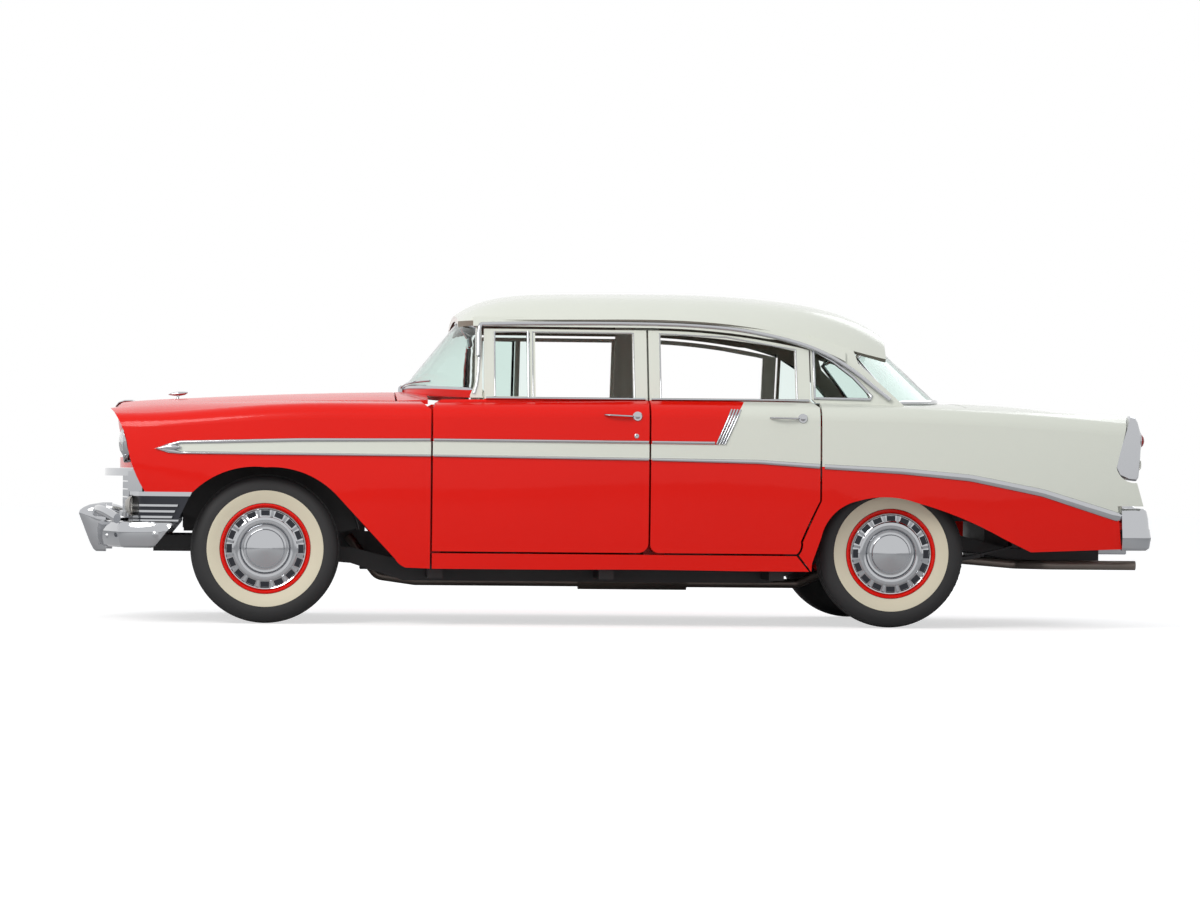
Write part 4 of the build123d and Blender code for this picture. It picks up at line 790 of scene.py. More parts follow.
# %% [markdown]
# Four slanted ribs close the red field on the rear door. They could be cut into the panel, but bright ribs
# on a painted door are separate strips, so each is swept along its own slanted line and rides on the door.

# %% Ribs on the rear door
SASH_RIBS = 4
SASH_PITCH = 0.0125
for rib in range(SASH_RIBS):
    back = SASH_PITCH * rib
    slant = [(-0.437 - back, 0.8505), (-0.508 - back * 1.1, 1.012)]
    sash = strip_shape("door_rear_left", slant, 0.0055, 0.008)
    add_pair(f"sash_rib_{rib}", "rear_left_door", sash, chrome)
print("ribs on each rear door:", SASH_RIBS)

# %% [markdown]
# The side glass leans inwards above the belt, and bright trim frames it: the drip rail over the doors,
# the belt strip at their foot, the bar behind the vent window, and the frames of the fixed windows. Curves
# drawn by eye would sink into the glass here and there. All of this lies on one slanted plane, so each bar
# is a line in side view that is put on that plane.

# %% Bright trim of the side windows
GLASS_FOOT = (0.800, 1.046)
GLASS_LEAN = 0.132
GLASS_RISE = 0.354


def lean_y(z):
    return GLASS_FOOT[0] - GLASS_LEAN * (z - GLASS_FOOT[1]) / GLASS_RISE


LEAN_OUT = Vector((0, GLASS_RISE, GLASS_LEAN)).normalized()


def rounded(points, times):
    """The same line with its corners cut, as often as asked; its ends stay."""
    points = [Vector(p) for p in points]
    for _ in range(times):
        cut = [points[0]]
        for a, b in zip(points, points[1:]):
            cut += [a.lerp(b, 0.25), a.lerp(b, 0.75)]
        points = cut + [points[-1]]
    return points


def plane_strip(spots, half_width, height, out=0.0, closed=False, rounding=2, sides=9):
    """A bar on the slanted plane of the side glass, through side-view spots."""
    line = [Vector((x, 0, z)) for x, z in spots]
    if rounding and not closed:
        line = rounded(line, rounding)
    points = [Vector((p.x, lean_y(p.z), p.z)) + LEAN_OUT * out for p in line]
    angles = [math.pi * k / (sides - 1) for k in range(sides)]
    section = [(half_width * math.cos(a), height * math.sin(a)) for a in angles]
    section += [(-half_width, -0.004), (half_width, -0.004)]
    return swept(points, section, LEAN_OUT, closed)


print("the side glass leans by", round(math.degrees(math.atan(GLASS_LEAN / GLASS_RISE)), 1), "degrees")

# %% Drip rail and pillar
RAIL = [
    (0.668, 1.250), (0.664, 1.395), (0.640, 1.402), (-0.140, 1.414), (-0.495, 1.397), (-0.690, 1.365),
    (-0.860, 1.322), (-0.980, 1.272), (-1.088, 1.205), (-1.190, 1.120), (-1.262, 1.062),
]
add_pair("drip_rail", "body", plane_strip(RAIL, 0.010, 0.008, 0.015), chrome)
PILLAR = [(0.688, 1.075), (0.672, 1.13), (0.662, 1.25), (0.664, 1.385)]
add_pair("pillar_bead", "body", plane_strip(PILLAR, 0.007, 0.007, 0.002), chrome)
print("rail points:", len(RAIL))

# %% Beads of the side windows
WINDOW_TRIM = [
    ("vent_bar", "front_left_door", [(0.4335, 1.372), (0.4335, 1.060)], 0.0065, 0.007, 0.0),
    ("vent_edge", "front_left_door", [(0.590, 1.064), (0.590, 1.369), (0.440, 1.369)], 0.004, 0.004, 0.001),
    ("front_window_bead", "front_left_door",
     [(0.412, 1.062), (0.412, 1.370), (-0.062, 1.370), (-0.062, 1.062)], 0.004, 0.004, 0.0),
    ("rear_window_bead", "rear_left_door",
     [(-0.186, 1.062), (-0.186, 1.369), (-0.500, 1.356), (-0.826, 1.300), (-0.826, 1.062)],
     0.004, 0.004, 0.0),
    ("belt_strip_front", "front_left_door", [(0.632, 1.0545), (-0.112, 1.0555)], 0.0075, 0.010, 0.004),
    ("belt_strip_rear", "rear_left_door", [(-0.140, 1.0555), (-0.880, 1.0575)], 0.0075, 0.010, 0.004),
]
for name, body, spots, half_width, height, stand in WINDOW_TRIM:
    shape = plane_strip(spots, half_width, height, stand, rounding=0)
    add_pair(name, body, shape, chrome)
QUARTER = [
    (-0.909, 1.070), (-0.909, 1.291), (-1.004, 1.243), (-1.095, 1.172), (-1.150, 1.112), (-1.176, 1.082),
    (-1.170, 1.067),
]
add_pair("quarter_bead", "body", plane_strip(QUARTER, 0.008, 0.007, 0.003, closed=True), chrome)
print("greenhouse trim is on")

# %% [markdown]
# The windshield and the rear window bend round on tilted arcs. Their frames follow the same arcs as the
# glass in the CAD model: a lower arc, an upper arc and the two sides. A bevelled curve could draw them, but
# its section would twist at the corners, so one bead is swept as a closed ring with a given rise.

# %% Window frames


def arc3(a, b, c, count):
    """Points along the arc through three points."""
    a, b, c = Vector(a), Vector(b), Vector(c)
    ab, ac = b - a, c - a
    n = ab.cross(ac)
    centre = a + (n.cross(ab) * ac.length_squared + ac.cross(n) * ab.length_squared) / (2 * n.length_squared)
    start, end = a - centre, c - centre
    axis = n.normalized()
    angle = math.atan2(axis.dot(start.cross(end)), start.dot(end)) % (2 * math.pi)
    return [centre + Matrix.Rotation(angle * i / (count - 1), 3, axis) @ start for i in range(count)]


def glass_loop(low, high, half_low, half_high):
    """Edge of a curved window as a closed line, from the left lower corner along the bottom."""
    (lx, lz, sx, sz), (hx, hz, tx, tz) = low, high
    bottom = arc3((sx, half_low, sz), (lx, 0, lz), (sx, -half_low, sz), 41)
    top = arc3((tx, -half_high, tz), (hx, 0, hz), (tx, half_high, tz), 41)
    return bottom + top


WINDSHIELD = ((1.000, 1.112, 0.668, 1.092), (0.744, 1.432, 0.668, 1.392), 0.748, 0.633)
REAR_GLASS = ((-1.586, 1.070, -1.290, 1.052), (-1.258, 1.372, -1.120, 1.262), 0.742, 0.640)
for name, glass in (("windshield_frame", WINDSHIELD), ("rear_window_frame", REAR_GLASS)):
    loop = glass_loop(*glass)
    centre = sum(loop, Vector()) / len(loop)
    rises = [p - Vector((centre.x * 0.4, 0, p.z - 0.05)) for p in loop]
    shape = swept(loop, round_section(0.012, 0.8), lambda i: rises[i], closed=True)
    add_piece(name, "body", shape, chrome)
print("window frames closed")

# %% [markdown]
# A door handle of the time is a bar that the hand pulls, with a round push button behind it. A plain tube
# would do from afar, but a real grip rises from two feet and is flatter than it is wide, so its line is
# rounded between six points. Rays put its feet on the door, and the front door has a small lock as well.

# %% Handles and locks
GRIP_STAND = 0.019


def lathe(profile, steps):
    """A closed profile of (radius, height) turned round the Z axis."""
    rings = []
    for i in range(steps):
        a = 2 * math.pi * i / steps
        rings.append([Vector((r * math.cos(a), r * math.sin(a), h)) for r, h in profile])
    return rings_joined(rings, closed_path=True)


def pull_handle(panel, front, rear, button):
    """A grip that stands off the door between two feet, with a round push button behind it."""
    ends = [skin_point(panel, *front), skin_point(panel, *rear)]
    a, b = ends[0][0], ends[1][0]
    out = Vector((0, 1, 0))
    spots = [a, a + out * 0.011 + (b - a) * 0.06, a + out * GRIP_STAND + (b - a) * 0.25,
             a + out * GRIP_STAND + (b - a) * 0.75, b + out * 0.012 + (a - b) * 0.06, b - out * 0.004]
    grip = swept(rounded(spots, 3), round_section(0.0075, 0.6), Vector((0, 0, 1)))
    place = skin_point(panel, *button)[0]
    turned = Matrix.Translation(place) @ Matrix.Rotation(-math.pi / 2, 4, "X")
    plate = lathe([(0, -0.006), (0.023, -0.006), (0.023, 0.002), (0.019, 0.007), (0.0, 0.007)], 32)
    push = lathe([(0, 0.006), (0.0115, 0.006), (0.0115, 0.013), (0.008, 0.016), (0, 0.0165)], 28)
    return merged(grip, moved(plate, turned), moved(push, turned))


def lock_disc(panel, x, z, radius=0.011):
    """The small round lock under a handle."""
    place = skin_point(panel, x, z)[0]
    turned = Matrix.Translation(place) @ Matrix.Rotation(-math.pi / 2, 4, "X")
    disc = lathe([(0, -0.004), (radius, -0.004), (radius, 0.002), (radius * 0.7, 0.004), (0, 0.003)], 24)
    return moved(disc, turned)


front_handle = pull_handle("door_front_left", (0.082, 0.982), (-0.050, 0.976), (-0.068, 0.976))
rear_handle = pull_handle("door_rear_left", (-0.690, 0.976), (-0.822, 0.974), (-0.840, 0.974))
lock = lock_disc("door_front_left", -0.064, 0.885)
add_pair("front_handle", "front_left_door", merged(front_handle, lock), chrome)
add_pair("rear_handle", "rear_left_door", rear_handle, chrome)
print("handles:", len(front_handle[0]), "points each")

# %% [markdown]
# A tyre of the time has a wide white sidewall and a plain ribbed tread. One profile is turned round the
# axle, and its faces carry a mark for white. A painted image could show the white too, but here the colour
# ends exactly at the step in the rubber. The small blocks on the shoulder ribs come from the ring tree.

# %% Tyre
HUB_HEIGHT = 0.347
TYRE_PROFILE = [
    (0.196, -0.056), (0.206, -0.062), (0.225, -0.072), (0.262, -0.083), (0.290, -0.086), (0.312, -0.081),
    (0.330, -0.070), (0.3385, -0.060), (0.3395, -0.0445), (0.3340, -0.0435), (0.3340, -0.0375),
    (0.3430, -0.0365), (0.3445, -0.0190), (0.3380, -0.0180), (0.3380, -0.0120), (0.3470, -0.0110),
    (0.3470, 0.0110), (0.3380, 0.0120), (0.3380, 0.0180), (0.3445, 0.0190), (0.3430, 0.0365),
    (0.3340, 0.0375), (0.3340, 0.0435), (0.3395, 0.0445), (0.3385, 0.060), (0.330, 0.070), (0.312, 0.081),
    (0.290, 0.0855), (0.2715, 0.0835), (0.2700, 0.0850), (0.262, 0.0845), (0.240, 0.0790),
    (0.222, 0.0730), (0.212, 0.0700), (0.2105, 0.0660), (0.206, 0.062), (0.196, 0.056),
]
WHITE_RADII = (0.2108, 0.2702)
LUG_HEIGHTS = (-0.053, 0.053)


def tyre_mesh(name, place):
    verts, faces = lathe(TYRE_PROFILE, 128)
    white = []
    for face in faces:
        centre = sum((verts[i] for i in face), Vector()) / len(face)
        radius = math.hypot(centre.x, centre.y)
        white.append(1.0 if centre.z > 0.06 and WHITE_RADII[0] < radius < WHITE_RADII[1] else 0.0)
    lugs = []
    for height in LUG_HEIGHTS:
        ring = repeated(ring_tree, Count=72, Radius=0.3355, Block=(0.010, 0.0105, 0.015))
        lugs.append(moved(ring, Matrix.Translation((0, 0, height))))
    shape = merged((verts, faces), *lugs)
    mesh = bpy.data.meshes.new(name)
    mesh.from_pydata([tuple(place @ v) for v in shape[0]], [], shape[1])
    mark = mesh.attributes.new("white_wall", "FLOAT", "FACE")
    mark.data.foreach_set("value", white + [0.0] * (len(shape[1]) - len(white)))
    smooth(mesh, 40.0)
    return mesh


print("tyre profile points:", len(TYRE_PROFILE))

# %% White sidewall


def white_wall_rubber():
    made = finish("white_wall_rubber", (0.020, 0.020, 0.021), 0.62, shades=0.3, grain=0.12, grain_size=500.0)
    mark = made.node_tree.nodes.new("ShaderNodeAttribute")
    mark.attribute_name = "white_wall"
    recolor(made, mark.outputs["Fac"], from_srgb(222, 214, 190))
    return made


tyre_rubber = white_wall_rubber()
print("sidewall finish:", tyre_rubber.name)

# %% [markdown]
# The wheel cover is a chromed dish with a domed cap, a rolled rim and a ring of sixteen slots. Cutting the
# slots would need many booleans, which leave rough edges, so near-black blocks of painted shade stand in the
# slots' places, where the holes would show shade, and bright bridges stand between them.

# %% Wheel cover
COVER_LIP = 0.0645
COVER_CREASE = 28.0
COVER_PROFILE = [
    (0, 0.020), (0.020, 0.0185), (0.086, 0.007), (0.090, 0.003), (0.0915, -0.005), (0.100, -0.007),
    (0.110, -0.005), (0.114, 0.004), (0.120, 0.0095), (0.132, 0.011), (0.146, 0.0095), (0.152, 0.005),
    (0.180, 0.0), (0.1835, 0.006), (0.188, 0.008), (0.192, 0.004), (0.192, -0.004), (0.150, -0.006),
    (0.110, -0.011), (0.088, -0.009), (0, 0.004),
]


def wheel_cover_shapes():
    """The cover, its raised bridges between slots, and near-black slot blocks of painted shade, facing +Z."""
    cover = lathe([(r, h + COVER_LIP) for r, h in COVER_PROFILE], 96)
    slots = repeated(ring_tree, Count=16, Radius=0.1660, Block=(0.024, 0.040, 0.006))
    slots = moved(slots, Matrix.Translation((0, 0, COVER_LIP + 0.0025)))
    bridges = repeated(ring_tree, Count=16, Radius=0.1655, Block=(0.030, 0.012, 0.012))
    bridges = moved(bridges, Matrix.Rotation(math.pi / 16, 4, "Z"))
    bridges = moved(bridges, Matrix.Translation((0, 0, COVER_LIP + 0.0040)))
    return merged(cover, bridges), slots


print("cover profile points:", len(COVER_PROFILE))

# %% Four wheels
AXLES = {"front": (1.6505, 1.473), "rear": (-1.2705, 1.496)}
cover_shape, slot_shape = wheel_cover_shapes()
for end, (x, track) in AXLES.items():
    for side, s in (("left", 1), ("right", -1)):
        facing = Matrix.Rotation(-s * math.pi / 2, 4, "X")
        place = Matrix.Translation((x, s * track / 2, HUB_HEIGHT)) @ facing
        body = f"{end}_{side}_wheel"
        tyre = tyre_mesh(f"tyre_{end}_{side}_mesh", place)
        made = piece(f"ribbed_tyre_{end}_{side}", body, tyre, tyre_rubber)
        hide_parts(f"tyre_{end}_{side}")
        cover, slots = moved(cover_shape, place), moved(slot_shape, place)
        made = add_piece(f"slotted_cover_{end}_{side}", body, cover, chrome, COVER_CREASE)
        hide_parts(f"wheel_cover_{end}_{side}")
        # The slot blocks are painted shade: near-black where the holes of a real cover would show shade.
        add_piece(f"cover_slot_shade_{end}_{side}", body, slots, painted_shade_chrome, COVER_CREASE)
print("four wheels dressed")

# %% [markdown]
# The bumpers are deep pressings with a crease and rolled edges. A bevelled box would bend badly round the
# corners, so one section is carried along the plan line of the CAD bar, and in front its lower edge rises
# towards the ends. Stacked outlines make the bullet-nosed guards.

# %% Bumper helpers


def beam(low, high, bevel=0.0):
    """A block with its upright and level edges cut."""
    (x0, y0, z0), (x1, y1, z1) = low, high
    if not bevel:
        verts = [(x, y, z) for z in (z0, z1) for x, y in ((x0, y0), (x1, y0), (x1, y1), (x0, y1))]
        return verts, [[3, 2, 1, 0], [4, 5, 6, 7], [0, 1, 5, 4], [1, 2, 6, 5], [2, 3, 7, 6], [3, 0, 4, 7]]
    b = bevel
    rings = []
    for z, inset in ((z0, b), (z0 + b, 0), (z1 - b, 0), (z1, b)):
        i = inset
        rings.append([
            Vector(p + (z,)) for p in (
                (x0 + b + i, y0 + i), (x1 - b - i, y0 + i), (x1 - i, y0 + b + i), (x1 - i, y1 - b - i),
                (x1 - b - i, y1 - i), (x0 + b + i, y1 - i), (x0 + i, y1 - b - i), (x0 + i, y0 + b + i))
        ])
    return rings_joined(rings)


def stacked(levels, back, direction=1, steps=20):
    """Upright guard from levels (z, front x, half width): round in front, flat at the back."""
    rings = []
    for z, front, half in levels:
        reach = direction * abs(front - back)
        ring = []
        for k in range(steps + 1):
            a = -math.pi / 2 + math.pi * k / steps
            depth = math.cos(a) ** 0.8 if abs(math.cos(a)) > 1e-6 else 0.0
            wide = math.copysign(abs(math.sin(a)) ** 0.85, math.sin(a))
            ring.append(Vector((back + reach * depth, half * wide, z)))
        rings.append(ring)
    return rings_joined(rings)


def bar_path(centre_x, wing_x, half, corner_x, wrap_x, count=25):
    """Plan line of a bumper from its left end round to its right end."""
    front = arc3((wing_x, half - 0.085, 0), (centre_x, 0, 0), (wing_x, -(half - 0.085), 0), count)
    left = rounded([(wrap_x, half, 0), (corner_x, half, 0), (wing_x, half - 0.025, 0), front[0]], 3)
    right = [Vector((p.x, -p.y, 0)) for p in reversed(left)]
    return left[:-1] + front + right[1:]


def bumper_shape(path, section, end_cut):
    """The section (out, z) carried along the path; end_cut gives the lowest height at each point."""
    count = len(path)
    rings = []
    for i, p in enumerate(path):
        before, after = path[max(0, i - 1)], path[min(count - 1, i + 1)]
        along = (after - before).normalized()
        out_way = along.cross(Vector((0, 0, 1)))
        if out_way.dot(Vector((p.x, p.y * 0.6, 0))) < 0:
            out_way = -out_way
        low = end_cut(p)
        rings.append([p + out_way * o + Vector((0, 0, max(z, low))) for o, z in section])
    return rings_joined(rings)


print("a bumper is one section along one line")

# %% Front bumper
FRONT_SECTION = [
    (-0.030, 0.350), (-0.008, 0.347), (0.008, 0.356), (0.017, 0.385), (0.020, 0.420), (0.017, 0.448),
    (0.008, 0.464), (-0.006, 0.470), (-0.030, 0.468),
]
LOW_EDGE = 0.345
END_START = 2.165
END_SLOPE = 1.25


def front_end_cut(p):
    return LOW_EDGE + max(0.0, END_START - p.x) * END_SLOPE


front_path = bar_path(2.456, 2.312, 0.887, 2.200, 2.078)
front_bar = bumper_shape(front_path, FRONT_SECTION, front_end_cut)
GUARD = [
    (0.320, 2.452, 0.020), (0.330, 2.464, 0.034), (0.360, 2.480, 0.040), (0.410, 2.500, 0.043),
    (0.450, 2.515, 0.045), (0.480, 2.527, 0.046), (0.500, 2.534, 0.044), (0.514, 2.530, 0.042),
    (0.528, 2.512, 0.038), (0.540, 2.485, 0.030), (0.546, 2.455, 0.018),
]
guard = moved(stacked(GUARD, back=2.405), Matrix.Translation((0, 0.34, 0)))
NERF_LINE = [(2.455, 0.36, 0.505), (2.440, 0.50, 0.520), (2.395, 0.66, 0.512), (2.335, 0.80, 0.480)]
nerf = swept(rounded(NERF_LINE, 3), round_section(0.018, 1.3), Vector((0, 0, 1)))
bolts = []
for x, y, z in ((2.455, 0.20, 0.405), (2.365, 0.72, 0.400)):
    bolts.append(moved(lathe([(0, -0.004), (0.013, -0.004), (0.012, 0.003), (0.006, 0.007), (0, 0.008)], 24),
                       Matrix.Translation((x + 0.019, y, z)) @ Matrix.Rotation(math.pi / 2, 4, "Y")))
side_bolt = moved(lathe([(0, -0.004), (0.016, -0.004), (0.015, 0.003), (0.007, 0.008), (0, 0.009)], 24),
                  Matrix.Translation((2.155, 0.905, 0.410)) @ Matrix.Rotation(-math.pi / 2, 4, "X"))
iron = beam((2.19, 0.360, 0.352), (2.44, 0.384, 0.408), 0.004)
fittings = both_sides(merged(guard, nerf, *bolts, side_bolt, iron))
made = add_piece("front_bumper_bar", "body", merged(front_bar, fittings), chrome)
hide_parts("front_bumper")
print("front bumper points:", len(front_bar[0]))

# %% Rear bumper
REAR_SECTION = [
    (-0.028, 0.374), (-0.004, 0.372), (0.012, 0.384), (0.020, 0.430), (0.014, 0.470), (0.010, 0.476),
    (0.006, 0.520), (-0.002, 0.555), (-0.012, 0.568), (-0.028, 0.570),
]
rear_path = bar_path(-2.510, -2.478, 0.887, -2.430, -2.350)
rear_bar = bumper_shape(rear_path, REAR_SECTION, lambda p: 0.0)
REAR_GUARD = [
    (0.375, -2.500, 0.022), (0.385, -2.515, 0.034), (0.430, -2.532, 0.040), (0.480, -2.5335, 0.042),
    (0.530, -2.530, 0.040), (0.565, -2.520, 0.036), (0.582, -2.500, 0.026), (0.588, -2.480, 0.014),
]
rear_guard = moved(stacked(REAR_GUARD, back=-2.445, direction=-1), Matrix.Translation((0, 0.365, 0)))
rear_iron = beam((-2.47, 0.360, 0.345), (-2.33, 0.384, 0.402), 0.004)
fittings = both_sides(merged(rear_guard, rear_iron))
made = add_piece("rear_bumper_bar", "body", merged(rear_bar, fittings), chrome)
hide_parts("rear_bumper")
print("rear bumper points:", len(rear_bar[0]))

# %% [markdown]
# Round lamps sit deep in the fender's nose: a bright bezel, a domed lens and a reflector behind it. A flat
# disc would do from the front, but from the side the dome is what shows, so each part is turned on a lathe.

# %% Head lamps
LAMP = Vector((2.272, 0.712, 0.838))
to_front = Matrix.Translation(LAMP) @ Matrix.Rotation(math.pi / 2, 4, "Y")
bezel = lathe([
    (0.084, 0.012), (0.086, 0.030), (0.092, 0.040), (0.099, 0.036), (0.0995, 0.020), (0.096, 0.006),
    (0.088, 0.004),
], 72)
ring = lathe([(0.078, 0.016), (0.080, 0.026), (0.086, 0.026), (0.086, 0.014)], 72)
lens = lathe([
    (0, 0.062), (0.020, 0.061), (0.042, 0.056), (0.062, 0.045), (0.078, 0.028), (0.078, 0.023),
    (0.060, 0.040), (0.040, 0.051), (0.020, 0.056), (0, 0.057),
], 64)
bowl = lathe([
    (0, -0.055), (0.030, -0.052), (0.060, -0.030), (0.082, 0.014), (0.085, 0.014), (0.064, -0.036),
    (0.030, -0.060), (0, -0.063),
], 64)
bright = moved(merged(bezel, ring), to_front)
made = add_piece("headlamp_bezels", "body", both_sides(bright), chrome)
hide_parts("headlamps")
add_pair("headlamp_lenses", "body", moved(lens, to_front), clear_lens)
add_pair("headlamp_bowls", "body", moved(bowl, to_front), alloy)


print("head lamp at", tuple(LAMP))

# %% [markdown]
# The parking lamps wrap from the grille round the corner, with three bright bars before a recess, whose
# shade is painted on a near-black band. A straight block can't follow the corner, so each bar is a band
# whose front line is rounded in plan.

# %% Parking lamps


def wrapped_band(low, high, depth_in, x_low, x_high, proud=0.0):
    """A band on the corner of the parking lamp between two heights; its rear end slopes with the arch."""
    rings = []
    for z, slope in ((low, x_low), (high, x_high)):
        corners = [(2.286, 0.700, z), (2.250, 0.790, z), (2.218, 0.878 + proud, z), (slope, 0.903 + proud, z)]
        outer = rounded(corners, 2)
        inner = []
        for i, p in enumerate(outer):
            thin = depth_in * (1 - i / (len(outer) - 1))
            inner.append(p + Vector((-thin, -depth_in * 0.8, 0)))
        rings.append(outer + inner[::-1])
    return rings_joined(rings)


def rear_slope(z):
    return 1.986 + (0.606 - z) * 0.47


lamp_parts = []
for low, high in ((0.586, 0.606), (0.470, 0.478)):
    ends = rear_slope(low) + 0.002, rear_slope(high) + 0.002
    lamp_parts.append(wrapped_band(low, high, 0.03, *ends, 0.002))
for z in (0.490, 0.516, 0.543):
    ends = rear_slope(z) + 0.040, rear_slope(z) + 0.036
    lamp_parts.append(wrapped_band(z - 0.005, z + 0.005, 0.025, *ends, 0.004))
# The recess is a near-black band of painted shade behind the bars.
recess = wrapped_band(0.474, 0.590, 0.02, rear_slope(0.474) + 0.004, rear_slope(0.590) + 0.004, -0.006)
made = add_pair("parking_lamp_bars", "body", merged(*lamp_parts), chrome)[0]
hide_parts("parking_lamps")
add_pair("parking_lamp_painted_shade", "body", recess, painted_shade_chrome)
park_place = Matrix.Translation((2.268, 0.752, 0.540)) @ Matrix.Rotation(math.pi / 2, 4, "Y")
park_place = park_place @ Matrix.Rotation(0.25, 4, "X")
park_lens = lathe([(0, 0.030), (0.030, 0.026), (0.044, 0.012), (0.046, 0.0), (0, 0.0)], 40)
add_pair("parking_lens", "body", moved(park_lens, park_place), pale_lens)
print("front lamps in place")

# %% [markdown]
# The tail lamp fills the rear end of the fender: a bright case with a red dome in a ring, and a small clear
# lamp for reversing under it. The case could be a block with rounded edges, but its outline follows the
# fender, so it is a stack of that outline which shrinks towards both faces.

# %% Tail lamps
TAIL_OUTLINE = [
    (-2.392, 1.003), (-2.414, 0.998), (-2.428, 0.975), (-2.441, 0.930), (-2.446, 0.860), (-2.440, 0.780),
    (-2.434, 0.715), (-2.424, 0.698), (-2.386, 0.702), (-2.340, 0.722), (-2.322, 0.756), (-2.331, 0.802),
    (-2.350, 0.870), (-2.370, 0.930), (-2.382, 0.972),
]
TAIL_CENTRE = Vector((-2.392, 0, 0.86))
rings = []
for y, shrink in ((0.762, 0.86), (0.772, 0.96), (0.790, 1.0), (0.838, 1.0), (0.852, 0.98), (0.861, 0.90)):
    ring = []
    for x, z in TAIL_OUTLINE:
        place_x = TAIL_CENTRE.x + (x - TAIL_CENTRE.x) * shrink
        place_z = TAIL_CENTRE.z + (z - TAIL_CENTRE.z) * (0.5 + shrink / 2)
        ring.append(Vector((place_x, y, place_z)))
    rings.append(ring)
tail_case = rings_joined(rings)
to_rear = Matrix.Rotation(-math.pi / 2, 4, "Y")
tail_place = Matrix.Translation((-2.442, 0.811, 0.888)) @ to_rear
tail_ring = lathe([(0.034, -0.01), (0.043, -0.01), (0.044, 0.003), (0.040, 0.006), (0.035, 0.004)], 48)
TAIL_DOME = [(0, 0.024), (0.012, 0.023), (0.024, 0.018), (0.033, 0.008), (0.035, -0.006), (0, -0.006)]
tail_lens = lathe(TAIL_DOME, 48)
back_up = moved(lathe([(0, 0.012), (0.022, 0.009), (0.028, 0.0), (0.028, -0.01), (0, -0.01)], 40),
                Matrix.Translation((-2.441, 0.811, 0.775)) @ to_rear)
tail_case = merged(tail_case, moved(tail_ring, tail_place))
made = add_pair("tail_lamp_cases", "body", tail_case, chrome)[0]
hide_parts("tail_lamps")
add_pair("tail_lenses", "body", moved(tail_lens, tail_place), red_lens)
add_pair("back_up_lenses", "body", back_up, pale_lens)
print("tail lamps in place")

# %% [markdown]
# Behind each front wheel a curved black liner keeps the road dirt out of the engine bay. It also keeps
# the light out, so that the wheel arch looks dark from the side. A box would be in the way of the turned
# wheel, so the liner is an arched sheet which leaves the tyre room to steer.

# %% Wheel arch liners


def arch_liner(radius, y_inner, y_outer, start, end, wall=0.004, steps=30):
    """A sheet bent over the front wheel from one angle to another, with a wall on its inner side."""
    axle_x = AXLES["front"][0]
    foot = radius - 0.14
    section = [(radius, y_outer), (radius + wall, y_outer), (radius + wall, y_inner - wall),
               (foot, y_inner - wall), (foot, y_inner), (radius, y_inner)]
    rings = []
    for i in range(steps + 1):
        a = math.radians(start + (end - start) * i / steps)
        across, up = math.cos(a), math.sin(a)
        rings.append([Vector((axle_x + r * across, y, HUB_HEIGHT + r * up)) for r, y in section])
    return rings_joined(rings)


add_pair("arch_liner", "body", arch_liner(0.442, 0.472, 0.835, 22, 168), black_paint)
print("liners in")

# %% [markdown]
# The roof's edge stands a little above the top of each curved window. On the real car a header strip
# closes that step. One fixed height would stick out at the sides, so rays shot upwards from the glass's
# edge find how high the strip has to be at each point.

# %% Window headers
roof_skin = tree_of("roof")


def header(line, lean, least=0.012):
    """A thin strip from the glass's edge up to the roof above it."""
    rings = []
    for p in line:
        hit = roof_skin.ray_cast(p + Vector((0, 0, 0.001)), Vector((0, 0, 1)), 0.25)[0]
        rise = max(least, (hit.z - p.z) if hit else least) + 0.004
        top = p + Vector((lean * rise, 0, rise))
        foot, half = p + Vector((0, 0, -0.006)), Vector((0.004, 0, 0))
        rings.append([foot + half, foot - half, top - half, top + half])
    return rings_joined(rings)


def upper_arc(glass):
    _, (hx, hz, tx, tz), _, half = glass
    return arc3((tx, half, tz), (hx, 0, hz), (tx, -half, tz), 49)


add_piece("rear_header", "body", header(upper_arc(REAR_GLASS), -0.35), ivory_paint)
add_piece("front_header", "body", header(upper_arc(WINDSHIELD), 0.1), chrome)
print("headers closed")

# %% [markdown]
# The bright figure on the hood is a plain dart on a stem, and a flat wedge marks the hood's front edge.
# Sculpting would give softer forms, but no size one can rely on. So both are swept along the car with a
# section that swells and shrinks, as a cast ornament does.

# %% Hood ornaments
ORNAMENT_CREASE = 45.0


def swelling(points, radii, flat=1.0, sides=14):
    """A round bar whose radius differs from point to point."""
    line = [Vector(p) for p in points]
    return swept(line, lambda i: round_section(radii[i], flat, sides), Vector((0, 0, 1)))


DART_LINE = [(2.128, 0, 1.070), (2.118, 0, 1.0715), (2.100, 0, 1.073), (2.075, 0, 1.0745),
             (2.050, 0, 1.077), (2.036, 0, 1.081)]
dart = swelling(DART_LINE, [0.001, 0.005, 0.009, 0.0105, 0.008, 0.003])
WING_LINE = [(2.088, 0.002, 1.073), (2.070, 0.030, 1.074), (2.045, 0.058, 1.077)]
wing = swelling(WING_LINE, [0.007, 0.005, 0.002], 0.5)
stem = swelling([(2.085, 0, 1.040), (2.083, 0, 1.055), (2.080, 0, 1.072)], [0.014, 0.006, 0.007])
add_piece("hood_dart", "hood", merged(dart, wing, mirrored(wing), stem), chrome, ORNAMENT_CREASE)
WEDGE_LINE = [(2.284, 0, 1.0335), (2.300, 0, 1.037), (2.335, 0, 1.036), (2.362, 0, 1.027), (2.377, 0, 1.008)]
WEDGE_SIZES = [(0.006, 0.7), (0.030, 0.22), (0.060, 0.12), (0.085, 0.08), (0.095, 0.05)]
wedge_points = [Vector(p) for p in WEDGE_LINE]
wedge = swept(wedge_points, lambda i: round_section(*WEDGE_SIZES[i], 20), Vector((0, 0, 1)))
add_piece("hood_wedge", "hood", wedge, chrome, ORNAMENT_CREASE)
print("ornament points:", len(dart[0]) + len(wedge[0]))

